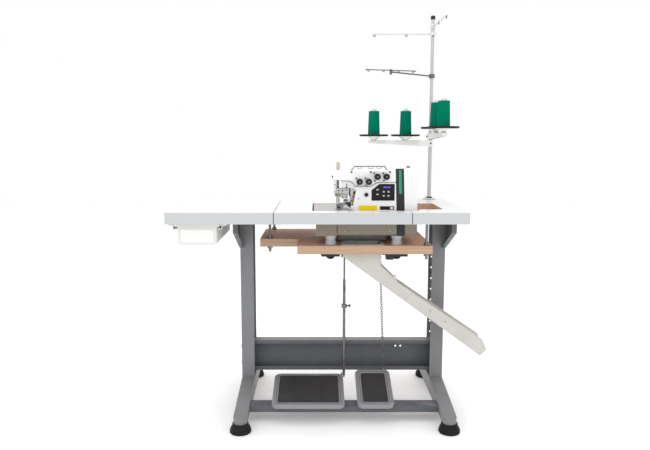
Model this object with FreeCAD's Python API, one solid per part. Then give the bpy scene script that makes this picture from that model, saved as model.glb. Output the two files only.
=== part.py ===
import FreeCAD, Part
import math
import os
from FreeCAD import Placement, Rotation, Vector

# An industrial overlock sewing machine sunk into its table, on a stand with two treadles.
# Sizes are in millimetres. X and Y are measured from the middle of the table and Z from the floor.
# The operator sits on the -Y side. At the end every piece is moved so that the origin is the middle
# of the floor area that the machine covers.

# Shared fits
running_clearance = 0.05
loose_clearance = 0.3
cut_margin = 2.0

# Table top
table_length = 1060.0
table_depth = 545.0
table_thickness = 40.0
table_height = 780.0
table_corner = 12.0
well_left = -17.0
well_right = 455.0
well_back = 55.0
well_corner = 8.0
well_notch_front = -197.0
well_notch_right = 366.0
well_strip_back = -160.0

# Lift-out panel and the plates that it rests on
panel_left = -152.0
panel_right = 329.0
panel_back = 155.0
panel_strip_back = -206.0
panel_gap = 1.0
rest_length = 60.0
rest_width = 40.0
rest_sheet = 3.0
rest_reach = 25.0

# Drawer and its runners
drawer_side_inset = 38.0
drawer_arm_gap = 51.0
drawer_front = -240.0
drawer_length = 344.0
drawer_height = 66.0
drawer_drop = 13.0
drawer_wall = 2.5
drawer_corner = 14.0
drawer_ledge = 10.0
runner_sheet = 3.0
runner_depth = 24.0
runner_gap = 4.0
runner_foot = 16.0

# Hung board and its rods
board_drop = 128.0
board_thickness = 30.0
board_left = -220.0
board_right = 415.0
board_front = -196.0
board_back = 250.0
board_step_x = -72.0
board_step_y = -32.0
board_corner = 3.0
hanger_radius = 5.0
hanger_left = -183.0
hanger_right = 395.0
hanger_left_front = -12.0
hanger_right_front = -177.0
hanger_back = 228.0
hanger_bite = 25.0
hanger_tail = 22.0
nut_flats = 17.0
nut_height = 8.0
washer_radius = 11.0
washer_height = 2.0

# Stand
column_centre = 98.0
column_spacing = 742.0
column_middle = 21.0
column_width = 50.0
column_depth = 84.0
column_wall = 3.0
column_hole_radius = 4.0
column_hole_pitch = 44.0
column_hole_inset = 13.0
column_hole_start = 170.0
column_hole_stop = 600.0
foot_front = -325.0
foot_back = 271.0
foot_end_top = 54.0
foot_top = 96.0
foot_wall = 3.0
pad_front = -301.0
pad_back = 247.0
pad_height = 34.0
pad_radius = 38.0
pad_stud_radius = 5.0
pad_stud_length = 8.0
pad_boss_radius = 13.0
arm_sheet = 3.0
arm_front = -205.0
arm_back = 200.0
arm_end_height = 40.0
arm_height = 124.0
arm_flange = 50.0
arm_lip = 14.0
beam_depth = 40.0
beam_height = 123.0
beam_bottom = 117.0
beam_wall = 3.0
beam_lip = 15.0
beam_slot_radius = 4.0
beam_slot_rise = 87.0
beam_slot_places = (315.0, 335.0)
bolt_radius = 4.0
bolt_flats = 13.0
bolt_head = 5.5
bolt_nut = 6.5
bolt_hole_clearance = 0.3
beam_bolt_spread = 18.0
beam_bolt_rise = 66.0
arm_bolt_spread = 40.0
arm_bolt_rise = 52.0
arm_bolt_low = 34.0

# Treadle bar and treadles
bar_front = -223.0
bar_back = -164.0
bar_top = 60.0
bar_height = 22.0
bar_wall = 3.0
bar_bolt_spread = 32.0
pivot_y = -193.0
pivot_z = 76.0
pivot_radius = 5.0
lug_thickness = 5.0
lug_radius = 9.0
lug_inset = 34.0
treadle_front = -259.0
treadle_front_z = 78.5
treadle_thickness = 14.0
treadle_sheet = 3.0
treadle_corner = 24.0
treadle_edge = 4.0
treadle_rim = 21.0
mat_recess = 1.5
mat_thickness = 3.5
mat_corner = 6.0
mat_clearance = 0.4
speed_left = -166.0
speed_width = 266.0
speed_depth = 218.0
speed_tilt = 11.0
lift_left = 146.0
lift_width = 134.0
lift_depth = 215.0
lift_tilt = 16.6
lift_rear_rim = 28.0

# Pitman rod from the speed treadle to the speed lever
pitman_x = 104.0
pitman_y = -36.0
pitman_low_z = 112.0
lever_end_drop = 28.0
pin_radius = 3.0
pin_length = 12.0
eye_thickness = 6.0
eye_wall = 3.5
eye_half_slot = 10.0
eye_play = 1.6
pitman_tube_radius = 5.5
pitman_rod_radius = 3.5
pitman_tube_drop = 94.0
pitman_overlap = 120.0
pitman_clamp_drop = 104.0
clamp_radius = 11.0
clamp_height = 13.0
thumb_radius = 6.0
thumb_length = 14.0
link_plate = 6.0
link_gap = 3.0

# Speed unit and speed lever under the board
unit_width = 54.0
unit_front = 24.0
unit_back = 92.0
unit_height = 30.0
unit_corner = 5.0
lever_pivot_y = 44.0
lever_pivot_drop = 20.0
lever_shaft_radius = 5.0
lever_hub_radius = 10.0
lever_end_radius = 8.0

# Lift chain, lift lever and its bracket
chain_y = -58.5
chain_low_x = 257.0
chain_high_x = 239.0
staple_height = 147.0
staple_front = -73.5
staple_back = -54.3
staple_radius = 1.5
link_wire = 2.4
link_inner_width = 5.0
link_inner_length = 12.6
link_slack = 0.3
staple_play = 1.2
ring_radius = 8.6
ring_wire = 1.3
ring_play = 0.6
lift_pin_radius = 2.5
lift_lever_reach = 88.0
lift_lever_rise = 11.3
lift_lever_drop = 26.0
lift_lever_x = 249.0
lift_ear_sheet = 4.0

# Plates and cushions between the board and the head
plate_thickness = 6.0
plate_front = -186.0
plate_back = 100.0
left_plate = (12.0, 83.0)
right_plate = (244.0, 328.0)
plate_corner = 10.0
cushion_height = 34.0
cushion_radius = 20.0
cushion_waist = 17.0
cushion_band = 9.0
cushion_x = (48.0, 289.0)
cushion_y = (-158.0, 12.0)
cushion_bolt_radius = 4.0
cushion_nut_flats = 15.0
cushion_nut_height = 7.0

# Waste chute and its funnel
chute_front = -165.0
chute_back = -85.0
chute_wall = 2.5
chute_left = 95.0
chute_right = 232.0
chute_neck = 16.0
chute_throat = 47.0
chute_flange = 9.0
chute_flange_sheet = 3.0
chute_low = (606.0, 233.0)
chute_tip = (628.0, 257.0)
chute_lip = (612.0, 296.0)
chute_step_low = (300.0, 508.5)
chute_step_high = (288.0, 521.0)
funnel_sheet = 2.0
funnel_rim = 9.0
funnel_front_rim = 24.0

# Head, heights are above the underside of the head
head_left = -5.0
head_front = -180.0
head_back = 35.0
head_height = 236.0
cover_depth = 15.0
cover_wall = 2.5
bed_height = 91.0
bed_front_right = 70.0
arm_left = 56.0
arm_back_y = -40.0
arm_underside = 202.0
arm_throat_x = 124.0
arm_throat = 197.0
body_left = 141.0
body_throat = 180.0
panel_line_x = (187.0, 216.0)
panel_line_high = 193.5
seam_gap = 1.6
cover_round = 4.0
head_round = 6.0
head_back_round = 26.0
band_left_low = 289.0
band_left_high = 280.5
band_width = 27.5
band_top = 241.0
band_round = 5.0
insert_width = 10.0
insert_length = 84.0
insert_depth = 3.0
insert_proud = 0.6
motor_right_low = 359.0
motor_right_high = 357.0
motor_top = 243.0
motor_wall = 3.0
motor_round = 16.0
motor_edge = 5.0
motor_slot = (328.0, 345.0)
motor_slot_width = 5.0
motor_slot_inset = 12.0
front_cover_left = 71.5
front_cover_bottom = 4.0
front_cover_shelf = 89.5
front_cover_step_x = 129.0
front_cover_step = 114.0
cover_pivot_y = -171.0
cover_pivot_rise = 10.0
hinge_pin_radius = 2.5
hinge_pin_reach = 1.5
cavity_left = 82.0
cavity_right = 262.0
cavity_floor = 16.0
cavity_roof = 84.0
cavity_back = -112.0
looper_well = (92.0, 118.0, -150.0, -96.0)
pan_left = 76.0
pan_right = 264.0
pan_front = -75.0
pan_back = 30.0
pan_depth = 31.0
pan_wall = 3.0

# Control panel on the head, X from the table's middle and heights above the head's underside
control_left = 194.5
control_right = 275.5
control_bottom = 128.5
control_top = 186.5
control_slope_x = 222.0
control_slope = 165.0
control_corner = 2.0
control_proud = 2.0
control_plate = 6.0
control_gap = 0.9
control_box_inset = 8.0
display_left = 232.0
display_right = 264.0
display_bottom = 170.5
display_top = 182.5
display_recess = 0.8
key_width = 11.0
key_height = 7.0
key_corner = 1.5
key_gap = 0.4
key_proud = 1.5
key_body = 5.5
key_travel = 0.8
key_places = ((215.0, 167.0), (215.0, 150.5), (237.0, 160.0), (254.0, 160.0), (237.0, 145.0), (254.0, 145.0))

# Knob on the front cover
cover_knob_x = 175.0
cover_knob_rise = 149.0
cover_knob_radius = 7.0
cover_knob_length = 8.0

# Cloth plate and needle plate
cloth_left = -12.0
cloth_right = 126.0
cloth_front = -203.0
cloth_corner = 8.0
plate_sheet = 3.0
cloth_skirt = 12.0
needle_plate_left = 86.0
needle_plate_right = 122.0
needle_plate_front = -158.0
needle_plate_back = -88.0
needle_plate_corner = 4.0
plate_fit = 0.2

# Needle bar, presser bar and pressure screw
needle_x = 106.0
needle_y = -120.0
needle_bar_radius = 3.6
needle_bar_low = 164.0
needle_bar_high = 214.0
needle_stroke_up = 7.0
needle_stroke_down = 18.0
needle_spread = 3.0
needle_radius = 0.6
needle_tip = 102.0
clamp_half = 6.5
clamp_tall = 13.0
presser_housing = (57.5, 70.5, -150.0, -95.0)
presser_housing_low = 148.0
presser_housing_corner = 4.0
presser_x = 76.0
presser_y = -112.0
presser_radius = 4.0
presser_top = 214.0
presser_lift = 6.0
sole_thickness = 3.0
sole_gap = 0.3
sole_left = 70.0
sole_right = 113.0
sole_front = -152.0
sole_back = -94.0
sole_slot_half = 6.0
shank_height = 44.0
foot_body = (71.0, 96.0)
foot_body_front = -146.0
foot_body_back = -96.0
foot_body_height = 19.0
shank_half = 7.0
screw_radius = 6.5
screw_stem_radius = 3.0
screw_height = 26.0
screw_stem = 14.0
screw_gap = 0.3

# Main shaft, motor and hand wheel
shaft_y = -60.0
shaft_rise = 114.0
shaft_radius = 9.0
shaft_left = 152.0
shaft_right = 354.0
rotor_radius = 26.0
rotor_left = 322.0
rotor_right = 338.0
stator_gap = 1.0
stator_radius = 40.0
stator_right = 340.0
wheel_radius = 43.0
wheel_rim = 9.0
wheel_hub_radius = 16.0
wheel_left = 344.0
wheel_right = 357.0
wheel_web = 5.0
wheel_hole_radius = 46.5

# Loopers, feed dog and knives
looper_radius = 2.5
looper_y = -151.0
looper_x = (98.0, 114.0)
looper_bend = 59.0
looper_top = 77.0
looper_lean = 5.0
feed_bars = (95.5, 115.0)
feed_bar_width = 3.0
feed_front = -138.0
feed_base = 70.0
feed_base_height = 6.0
feed_proud = 0.2
knife_left = 117.0
knife_thickness = 5.0
knife_front = -146.0
knife_width = 11.0
knife_low = 96.0
knife_height = 52.0
knife_block_low = 106.0
knife_block_height = 48.0
knife_block_margin = 5.0
guard_left = 84.0
guard_right = 132.0
guard_front = -162.0
guard_sheet = 3.0
guard_low = 150.0
guard_height = 21.0
guard_bracket_back = -152.0
guard_bracket = 10.0

# Tension posts, knobs and thread guides on the head, X and height above the head's underside
tension_places = ((150.0, 196.0), (182.0, 196.0), (213.0, 214.0), (245.0, 214.0))
post_radius = 3.0
post_length = 27.0
disc_radius = 10.5
disc_thickness = 1.2
disc_gap = 1.0
disc_offset = 3.0
knob_radius = 11.5
knob_length = 17.0
knob_offset = 9.0
knob_ribs = 16
knob_rib_radius = 1.3
guide_pin_radius = 1.6
guide_pin_length = 9.0
guide_pin_head = 3.6
guide_pin_offsets = ((-11.5, 12.5), (-8.5, -14.5))
guide_bar_radius = 2.0
guide_bar_y = -158.0
guide_bar_x = (123.0, 134.0, 242.0, 249.0)
guide_bar_rise = 13.0
guide_bar_bend = 6.0

# Thread stand, heights are above the table top
pole_side_inset = 59.0
pole_back_inset = 37.5
pole_x = table_length / 2 - pole_side_inset
pole_y = table_depth / 2 - pole_back_inset
pole_radius = 8.0
pole_top_radius = 7.0
pole_joint = 254.0
pole_height = 738.0
pole_bite = 40.0
pole_tail = 30.0
pole_bore = 6.0
flange_radius = 27.0
flange_height = 7.0
pole_nut_flats = 24.0
pole_nut_height = 12.0
collar_radius = 11.0
collar_height = 24.0
cap_radius = 9.5
cap_height = 16.0
spool_clamp_radius = 14.0
spool_root_height = 26.0
spool_tip_height = 12.0
spool_arm_width = 22.0
spool_arm_wall = 2.0
left_arm_rise = 221.0
left_arm_reach = 258.0
front_arm_rise = 250.0
front_arm_reach = 254.0
front_arm_turn = 2.0
spool_places = (104.0, 236.0)
seat_height = 16.0
seat_low_radius = 9.0
seat_high_radius = 30.0
spool_pin_radius = 4.0
spool_pin_height = 92.0
dish_radius = 60.0
dish_thickness = 3.0
dish_lip = 3.0
cone_low_radius = 25.0
cone_high_radius = 22.0
cone_height = 101.0
core_rise = 9.0
core_low_radius = 15.0
core_high_radius = 11.0
core_wall = 1.5
left_guide_rise = 668.0
left_guide_reach = 247.0
front_guide_rise = 698.0
front_guide_reach = 240.0
guide_width = 9.0
guide_thickness = 4.0
guide_clamp_radius = 12.0
guide_clamp_height = 16.0
guide_eyes = (108.0, 238.0)
eye_ring_radius = 3.3
eye_wire = 1.4
mid_guide_rise = 500.0
mid_arm_end = (pole_x - 188.0, pole_y - 175.0)
mid_arm_radius = 3.0
mid_wire_ends = ((pole_x - 289.0, pole_y - 215.0), (pole_x - 88.0, pole_y - 155.0))
mid_wire_radius = 2.0
mid_wire_step = 5.0
mid_screw_radius = 5.0
mid_screw_length = 20.0

# Levels that follow from the sizes above
table_under = table_height - table_thickness
board_top = table_height - board_drop
board_under = board_top - board_thickness
head_low = board_top + cushion_height
head_top = head_low + head_height
bed_top = head_low + bed_height
cloth_top = bed_top + plate_sheet
casting_front = head_front + cover_depth
plate_under = board_under - plate_thickness
table_front = -table_depth / 2
shaft_z = head_low + shaft_rise
column_front = column_middle - column_depth / 2
column_back = column_middle + column_depth / 2
column_top = table_under - arm_sheet
drawer_left = drawer_side_inset - table_length / 2
drawer_right = column_centre - column_spacing / 2 - column_width / 2 - arm_sheet - drawer_arm_gap
drawer_width = drawer_right - drawer_left
pitman_high_z = plate_under - lever_end_drop
pitman_tube_top = pitman_high_z - pitman_tube_drop
pitman_clamp_z = pitman_tube_top - pitman_clamp_drop


# Basic forms


def span(x0, x1, y0, y1, z0, z1):
    low = Vector(min(x0, x1), min(y0, y1), min(z0, z1))
    return Part.makeBox(abs(x1 - x0), abs(y1 - y0), abs(z1 - z0), low)


def along_x(x0, x1, y, z, radius):
    return Part.makeCylinder(radius, abs(x1 - x0), Vector(min(x0, x1), y, z), Vector(1, 0, 0))


def along_y(y0, y1, x, z, radius):
    return Part.makeCylinder(radius, abs(y1 - y0), Vector(x, min(y0, y1), z), Vector(0, 1, 0))


def along_z(z0, z1, x, y, radius):
    return Part.makeCylinder(radius, abs(z1 - z0), Vector(x, y, min(z0, z1)))


def between(start, end, radius):
    way = end - start
    return Part.makeCylinder(radius, way.Length, start, way)


def rounded_wire(points, radii):
    # A closed outline whose corners are tangent arcs.
    count = len(points)
    if not isinstance(radii, (list, tuple)):
        radii = [radii] * count
    corners = []
    for i, corner in enumerate(points):
        back = (points[i - 1] - corner).normalize()
        ahead = (points[(i + 1) % count] - corner).normalize()
        half = back.getAngle(ahead) / 2
        radius = radii[i]
        if radius <= 0:
            corners.append((corner, None, corner))
            continue
        leg = radius / math.tan(half)
        middle = (back + ahead).normalize() * (radius / math.sin(half) - radius)
        corners.append((corner + back * leg, corner + middle, corner + ahead * leg))
    edges = []
    for i, (start, middle, end) in enumerate(corners):
        if middle is not None:
            edges.append(Part.Arc(start, middle, end).toShape())
        following = corners[(i + 1) % count][0]
        if (following - end).Length > 1e-6:
            edges.append(Part.makeLine(end, following))
    return Part.Wire(edges)


def front_face(points, y, radii=0):
    return Part.Face(rounded_wire([Vector(x, y, z) for x, z in points], radii))


def front_prism(points, y0, y1, radii=0):
    return front_face(points, y0, radii).extrude(Vector(0, y1 - y0, 0))


def side_prism(points, x0, x1, radii=0):
    face = Part.Face(rounded_wire([Vector(x0, y, z) for y, z in points], radii))
    return face.extrude(Vector(x1 - x0, 0, 0))


def plan_prism(points, z0, z1, radii=0):
    face = Part.Face(rounded_wire([Vector(x, y, z0) for x, y in points], radii))
    return face.extrude(Vector(0, 0, z1 - z0))


def rectangle(a0, a1, b0, b1):
    return [(a0, b0), (a1, b0), (a1, b1), (a0, b1)]


def turned(profile, base, axis):
    # A profile of (radius, height) points turned about an axis.
    points = [Vector(radius, 0, height) for radius, height in profile]
    face = Part.Face(Part.makePolygon(points + points[:1]))
    solid = face.revolve(Vector(0, 0, 0), Vector(0, 0, 1), 360)
    solid.Placement = Placement(base, Rotation(Vector(0, 0, 1), axis))
    return solid


def hexagon(flats, base, axis, height, bore=0):
    corner = flats / math.sqrt(3)
    points = [Vector(corner * math.cos(i * math.pi / 3), corner * math.sin(i * math.pi / 3), 0)
              for i in range(6)]
    solid = Part.Face(Part.makePolygon(points + points[:1])).extrude(Vector(0, 0, height))
    if bore > 0:
        solid = solid.cut(Part.makeCylinder(bore, height))
    solid.Placement = Placement(base, Rotation(Vector(0, 0, 1), axis))
    return solid


def fused(first, *others):
    return first.fuse(list(others)).removeSplitter()


def cut_all(shape, tools):
    return shape.cut(list(tools))


def edges_at_y(shape, y):
    near = 1e-4
    return [edge for edge in shape.Edges
            if abs(edge.BoundBox.YMin - y) < near and abs(edge.BoundBox.YMax - y) < near]


def edges_at_z(shape, z):
    near = 1e-4
    return [edge for edge in shape.Edges
            if abs(edge.BoundBox.ZMin - z) < near and abs(edge.BoundBox.ZMax - z) < near]


# Table top, lift-out panel and its rests


def hanger_places():
    return [
        (hanger_left, hanger_left_front),
        (hanger_left, hanger_back),
        (hanger_right, hanger_right_front),
        (hanger_right, hanger_back),
    ]


def table_top():
    half = table_length / 2
    board = plan_prism(rectangle(-half, half, table_front, -table_front), table_under, table_height, table_corner)
    well = [
        (panel_left, table_front - cut_margin),
        (panel_right, table_front - cut_margin),
        (panel_right, well_notch_front),
        (well_notch_right, well_notch_front),
        (well_notch_right, well_strip_back),
        (well_right, well_strip_back),
        (well_right, well_back),
        (well_left, well_back),
        (well_left, panel_back),
        (panel_left, panel_back),
    ]
    radii = [0, 0, 0, well_corner, well_corner, well_corner, well_corner, 0, 0, 0]
    tools = [plan_prism(well, table_under - cut_margin, table_height + cut_margin, radii)]
    for x, y in hanger_places():
        tools.append(along_z(table_under - cut_margin, table_under + hanger_bite, x, y, hanger_radius + running_clearance))
    tools.append(along_z(table_under - cut_margin, table_height + cut_margin, pole_x, pole_y, pole_radius + loose_clearance))
    return [cut_all(board, tools)]


def lift_out_panel():
    left = panel_left + panel_gap
    right = panel_right - panel_gap
    inner = well_left - panel_gap
    back = panel_back - panel_gap
    outline = [
        (left, table_front),
        (right, table_front),
        (right, panel_strip_back),
        (inner, panel_strip_back),
        (inner, back),
        (left, back),
    ]
    return [plan_prism(outline, table_under, table_height, [0, 0, 0, well_corner, 0, 0])]


def panel_rests():
    low = table_under - rest_sheet
    half = rest_width / 2
    anchor = rest_length - rest_reach
    front_y = table_front + rest_width
    back_y = panel_back - 1.5 * rest_width
    middle = (panel_left + well_left) / 2
    outlines = [
        rectangle(panel_left - anchor, panel_left + rest_reach, front_y - half, front_y + half),
        rectangle(panel_left - anchor, panel_left + rest_reach, back_y - half, back_y + half),
        rectangle(panel_right - rest_reach, panel_right + anchor, front_y - half, front_y + half),
        rectangle(middle - half, middle + half, panel_back - rest_reach, panel_back + anchor),
    ]
    return [plan_prism(outline, low, table_under, rest_sheet) for outline in outlines]


# Drawer and runners


def drawer_levels():
    flange_low = table_under - runner_depth + runner_sheet + loose_clearance
    top = table_under - drawer_drop
    return flange_low, top - drawer_height, top


def drawer():
    flange_low, bottom, top = drawer_levels()
    right = drawer_left + drawer_width
    back = drawer_front + drawer_length
    outline = rectangle(drawer_left, right, bottom, top)
    radii = [drawer_corner, drawer_corner, 0, 0]
    outer = front_prism(outline, drawer_front, back, radii)
    outer = outer.makeFillet(drawer_corner / 2, edges_at_z(outer, bottom))
    inner_outline = rectangle(drawer_left + drawer_wall, right - drawer_wall, bottom + drawer_wall, top + cut_margin)
    inner_radii = [drawer_corner - drawer_wall, drawer_corner - drawer_wall, 0, 0]
    inner = front_prism(inner_outline, drawer_front + drawer_wall, back - drawer_wall, inner_radii)
    ledge = span(drawer_left - drawer_ledge, right + drawer_ledge, drawer_front + drawer_ledge, back,
                 flange_low, flange_low + runner_sheet)
    return [fused(outer, ledge).cut(inner)]


def runner_profile(edge, side):
    # Section of one runner: foot under the table, web, and the lip that the drawer's ledge slides on.
    web = edge + side * (drawer_ledge + runner_gap)
    lip = edge + side * runner_gap
    low = table_under - runner_depth
    return [
        (web + side * (runner_sheet + runner_foot), table_under),
        (web, table_under),
        (web, low + runner_sheet),
        (lip, low + runner_sheet),
        (lip, low),
        (web + side * runner_sheet, low),
        (web + side * runner_sheet, table_under - runner_sheet),
        (web + side * (runner_sheet + runner_foot), table_under - runner_sheet),
    ]


def drawer_runners():
    start = drawer_front + drawer_ledge
    end = drawer_front + drawer_length
    left = front_prism(runner_profile(drawer_left, -1), start, end)
    right = front_prism(runner_profile(drawer_left + drawer_width, 1), start, end)
    return [left, right]


# Hung board, rods and nuts


def work_board():
    outline = [
        (board_left, board_step_y),
        (board_step_x, board_step_y),
        (board_step_x, board_front),
        (board_right, board_front),
        (board_right, board_back),
        (board_left, board_back),
    ]
    board = plan_prism(outline, board_under, board_top, board_corner)
    tools = [plan_prism(rectangle(chute_left, chute_right, chute_front, chute_back),
                        board_under - cut_margin, board_top + cut_margin, board_corner)]
    for x, y in hanger_places():
        tools.append(along_z(board_under - cut_margin, board_top + cut_margin, x, y, hanger_radius + loose_clearance))
    for x in cushion_x:
        for y in cushion_y:
            tools.append(along_z(board_under - cut_margin, board_top + cut_margin, x, y,
                                 cushion_bolt_radius + loose_clearance))
    return [cut_all(board, tools)]


def hanger_rods():
    solids = []
    up = Vector(0, 0, 1)
    bore = hanger_radius + running_clearance
    nut_levels = [
        table_under - nut_height,
        board_top + washer_height,
        board_under - washer_height - nut_height,
    ]
    for x, y in hanger_places():
        solids.append(along_z(board_under - hanger_tail, table_under + hanger_bite, x, y, hanger_radius))
        for level in nut_levels:
            solids.append(hexagon(nut_flats, Vector(x, y, level), up, nut_height, bore))
        for level in (board_top, board_under - washer_height):
            washer = along_z(level, level + washer_height, x, y, washer_radius)
            hole = along_z(level, level + washer_height, x, y, bore)
            solids.append(washer.cut(hole))
    return solids


# Stand


def column_places():
    # Centre of each column and the side of its web, -1 left and 1 right.
    return [(column_centre + side * column_spacing / 2, side) for side in (-1, 1)]


def bolt_hole_radius():
    return bolt_radius + bolt_hole_clearance


def beam_bolt_places():
    middle = beam_bottom + beam_height / 2
    return [(column_middle + a * beam_bolt_spread / 2, middle + b * beam_bolt_rise / 2)
            for a in (-1, 1) for b in (-1, 1)]


def arm_bolt_places():
    low = table_under - arm_height + arm_bolt_low
    return [(column_middle + a * arm_bolt_spread / 2, low + b * arm_bolt_rise)
            for a in (-1, 1) for b in (0, 1)]


def bar_bolt_places():
    middle = (bar_front + bar_back) / 2
    level = bar_top - bar_height / 2
    return [(middle + a * bar_bolt_spread / 2, level) for a in (-1, 1)]


def foot_outline(inset):
    rise = inset
    return [
        (foot_front + inset, pad_height - (cut_margin if inset else 0)),
        (foot_back - inset, pad_height - (cut_margin if inset else 0)),
        (foot_back - inset, foot_end_top - rise),
        (column_back, foot_top - rise),
        (column_front, foot_top - rise),
        (foot_front + inset, foot_end_top - rise),
    ]


def foot_plan(centre, inset):
    half = column_width / 2 - inset
    return plan_prism(rectangle(centre - half, centre + half, foot_front + inset, foot_back - inset),
                      0, foot_top + cut_margin, half - 0.01)


def feet():
    solids = []
    for centre, side in column_places():
        half = column_width / 2
        outer = side_prism(foot_outline(0), centre - half, centre + half).common(foot_plan(centre, 0))
        inner = side_prism(foot_outline(foot_wall), centre - half, centre + half)
        inner = inner.common(foot_plan(centre, foot_wall))
        for y in (pad_front, pad_back):
            inner = inner.cut(along_z(0, foot_top, centre, y, pad_boss_radius))
        tools = [inner]
        for y in (pad_front, pad_back):
            tools.append(along_z(0, pad_height + pad_stud_length + cut_margin, centre, y,
                                 pad_stud_radius + running_clearance))
        inner_face = centre - side * half
        for y, z in bar_bolt_places():
            tools.append(along_x(inner_face - foot_wall - cut_margin, inner_face + foot_wall + cut_margin, y, z,
                                 bolt_hole_radius()))
        solids.append(cut_all(outer, tools))
    return solids


def rubber_feet():
    r = pad_radius
    h = pad_height
    profile = [
        (0, 0), (r * 0.95, 0), (r, h * 0.09), (r, h * 0.26), (r * 0.92, h * 0.32),
        (r * 0.95, h * 0.44), (r * 0.86, h * 0.50), (r * 0.88, h * 0.62), (r * 0.78, h * 0.70),
        (r * 0.76, h), (pad_stud_radius, h), (pad_stud_radius, h + pad_stud_length), (0, h + pad_stud_length),
    ]
    return [turned(profile, Vector(centre, y, 0), Vector(0, 0, 1))
            for centre, side in column_places() for y in (pad_front, pad_back)]


def columns():
    solids = []
    for centre, side in column_places():
        half = column_width / 2
        web = centre + side * half
        outer = span(centre - half, centre + half, column_front, column_back, foot_top, column_top)
        hollow = span(web - side * column_wall, centre - side * (half + cut_margin),
                      column_front + column_wall, column_back - column_wall,
                      foot_top - cut_margin, column_top + cut_margin)
        tools = [hollow]
        level = column_hole_start
        while level <= column_hole_stop:
            hole_x = centre - side * (half - column_hole_inset)
            tools.append(along_y(column_back - column_wall - cut_margin, column_back + cut_margin,
                                 hole_x, level, column_hole_radius))
            level += column_hole_pitch
        for y, z in beam_bolt_places() + arm_bolt_places():
            tools.append(along_x(web - column_wall - cut_margin, web + column_wall + cut_margin, y, z,
                                 bolt_hole_radius()))
        solids.append(cut_all(outer, tools))
    return solids


def table_arms():
    solids = []
    low = table_under - arm_height
    end = table_under - arm_end_height
    web_outline = [
        (arm_front, table_under), (arm_front, end), (column_front, low),
        (column_back, low), (arm_back, end), (arm_back, table_under),
    ]
    for centre, side in column_places():
        inner = centre + side * column_width / 2
        outer = inner + side * arm_sheet
        lip = inner - side * arm_lip
        web = side_prism(web_outline, inner, outer)
        flange = span(outer, outer - side * (arm_flange + arm_sheet), arm_front, arm_back, column_top, table_under)
        front_lip = side_prism([(arm_front, end), (column_front, low), (column_front, low + arm_sheet),
                                (arm_front, end + arm_sheet)], inner, lip)
        back_lip = side_prism([(arm_back, end), (column_back, low), (column_back, low + arm_sheet),
                               (arm_back, end + arm_sheet)], inner, lip)
        front_end = span(inner, lip, arm_front, arm_front + arm_sheet, end, table_under)
        back_end = span(inner, lip, arm_back - arm_sheet, arm_back, end, table_under)
        arm = fused(web, flange, front_lip, back_lip, front_end, back_end)
        holes = [along_x(min(inner, outer) - cut_margin, max(inner, outer) + cut_margin, y, z, bolt_hole_radius())
                 for y, z in arm_bolt_places()]
        solids.append(cut_all(arm, holes))
    return solids


def rear_beam():
    left = column_places()[0][0] - column_width / 2 + column_wall
    right = column_places()[1][0] + column_width / 2 - column_wall
    front = column_middle - beam_depth / 2
    back = column_middle + beam_depth / 2
    low = beam_bottom
    top = beam_bottom + beam_height
    section = [
        (front, low), (back, low), (back, top), (front, top),
        (front, top - beam_lip), (front + beam_wall, top - beam_lip), (front + beam_wall, top - beam_wall),
        (back - beam_wall, top - beam_wall), (back - beam_wall, low + beam_wall),
        (front + beam_wall, low + beam_wall), (front + beam_wall, low + beam_lip), (front, low + beam_lip),
    ]
    channel = side_prism(section, left, right)
    ends = [span(x, x + beam_wall, front, back, low, top) for x in (left, right - beam_wall)]
    beam = fused(channel, *ends)
    holes = [along_y(back - beam_wall - cut_margin, back + cut_margin, x, low + beam_slot_rise, beam_slot_radius)
             for x in beam_slot_places]
    for y, z in beam_bolt_places():
        holes.append(along_x(left - cut_margin, left + beam_wall + cut_margin, y, z, bolt_hole_radius()))
        holes.append(along_x(right - beam_wall - cut_margin, right + cut_margin, y, z, bolt_hole_radius()))
    return [cut_all(beam, holes)]


def bolt_and_nut(face, y, z, outward, grip):
    # A bolt whose head sits on a face and whose nut closes the grip behind it.
    axis = Vector(outward, 0, 0)
    head = hexagon(bolt_flats, Vector(face, y, z), axis, bolt_head)
    far = face - outward * (grip + bolt_nut)
    bolt = fused(head, along_x(face, far, y, z, bolt_radius))
    nut = hexagon(bolt_flats, Vector(far, y, z), axis, bolt_nut, bolt_radius + running_clearance)
    return [bolt, nut]


def stand_bolts():
    solids = []
    for centre, side in column_places():
        web = centre + side * column_width / 2
        for y, z in arm_bolt_places():
            solids += bolt_and_nut(web + side * arm_sheet, y, z, side, arm_sheet + column_wall)
        for y, z in beam_bolt_places():
            solids += bolt_and_nut(web, y, z, side, column_wall + beam_wall)
        inner_face = centre - side * column_width / 2
        for y, z in bar_bolt_places():
            solids += bolt_and_nut(inner_face - side * bar_wall, y, z, -side, bar_wall + foot_wall)
    return solids


# Treadle bar and treadles


def treadles():
    # Left edge, width, depth, tilt and rear rim of the speed treadle and the lift treadle.
    return [
        (speed_left, speed_width, speed_depth, speed_tilt, treadle_rim),
        (lift_left, lift_width, lift_depth, lift_tilt, lift_rear_rim),
    ]


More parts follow.
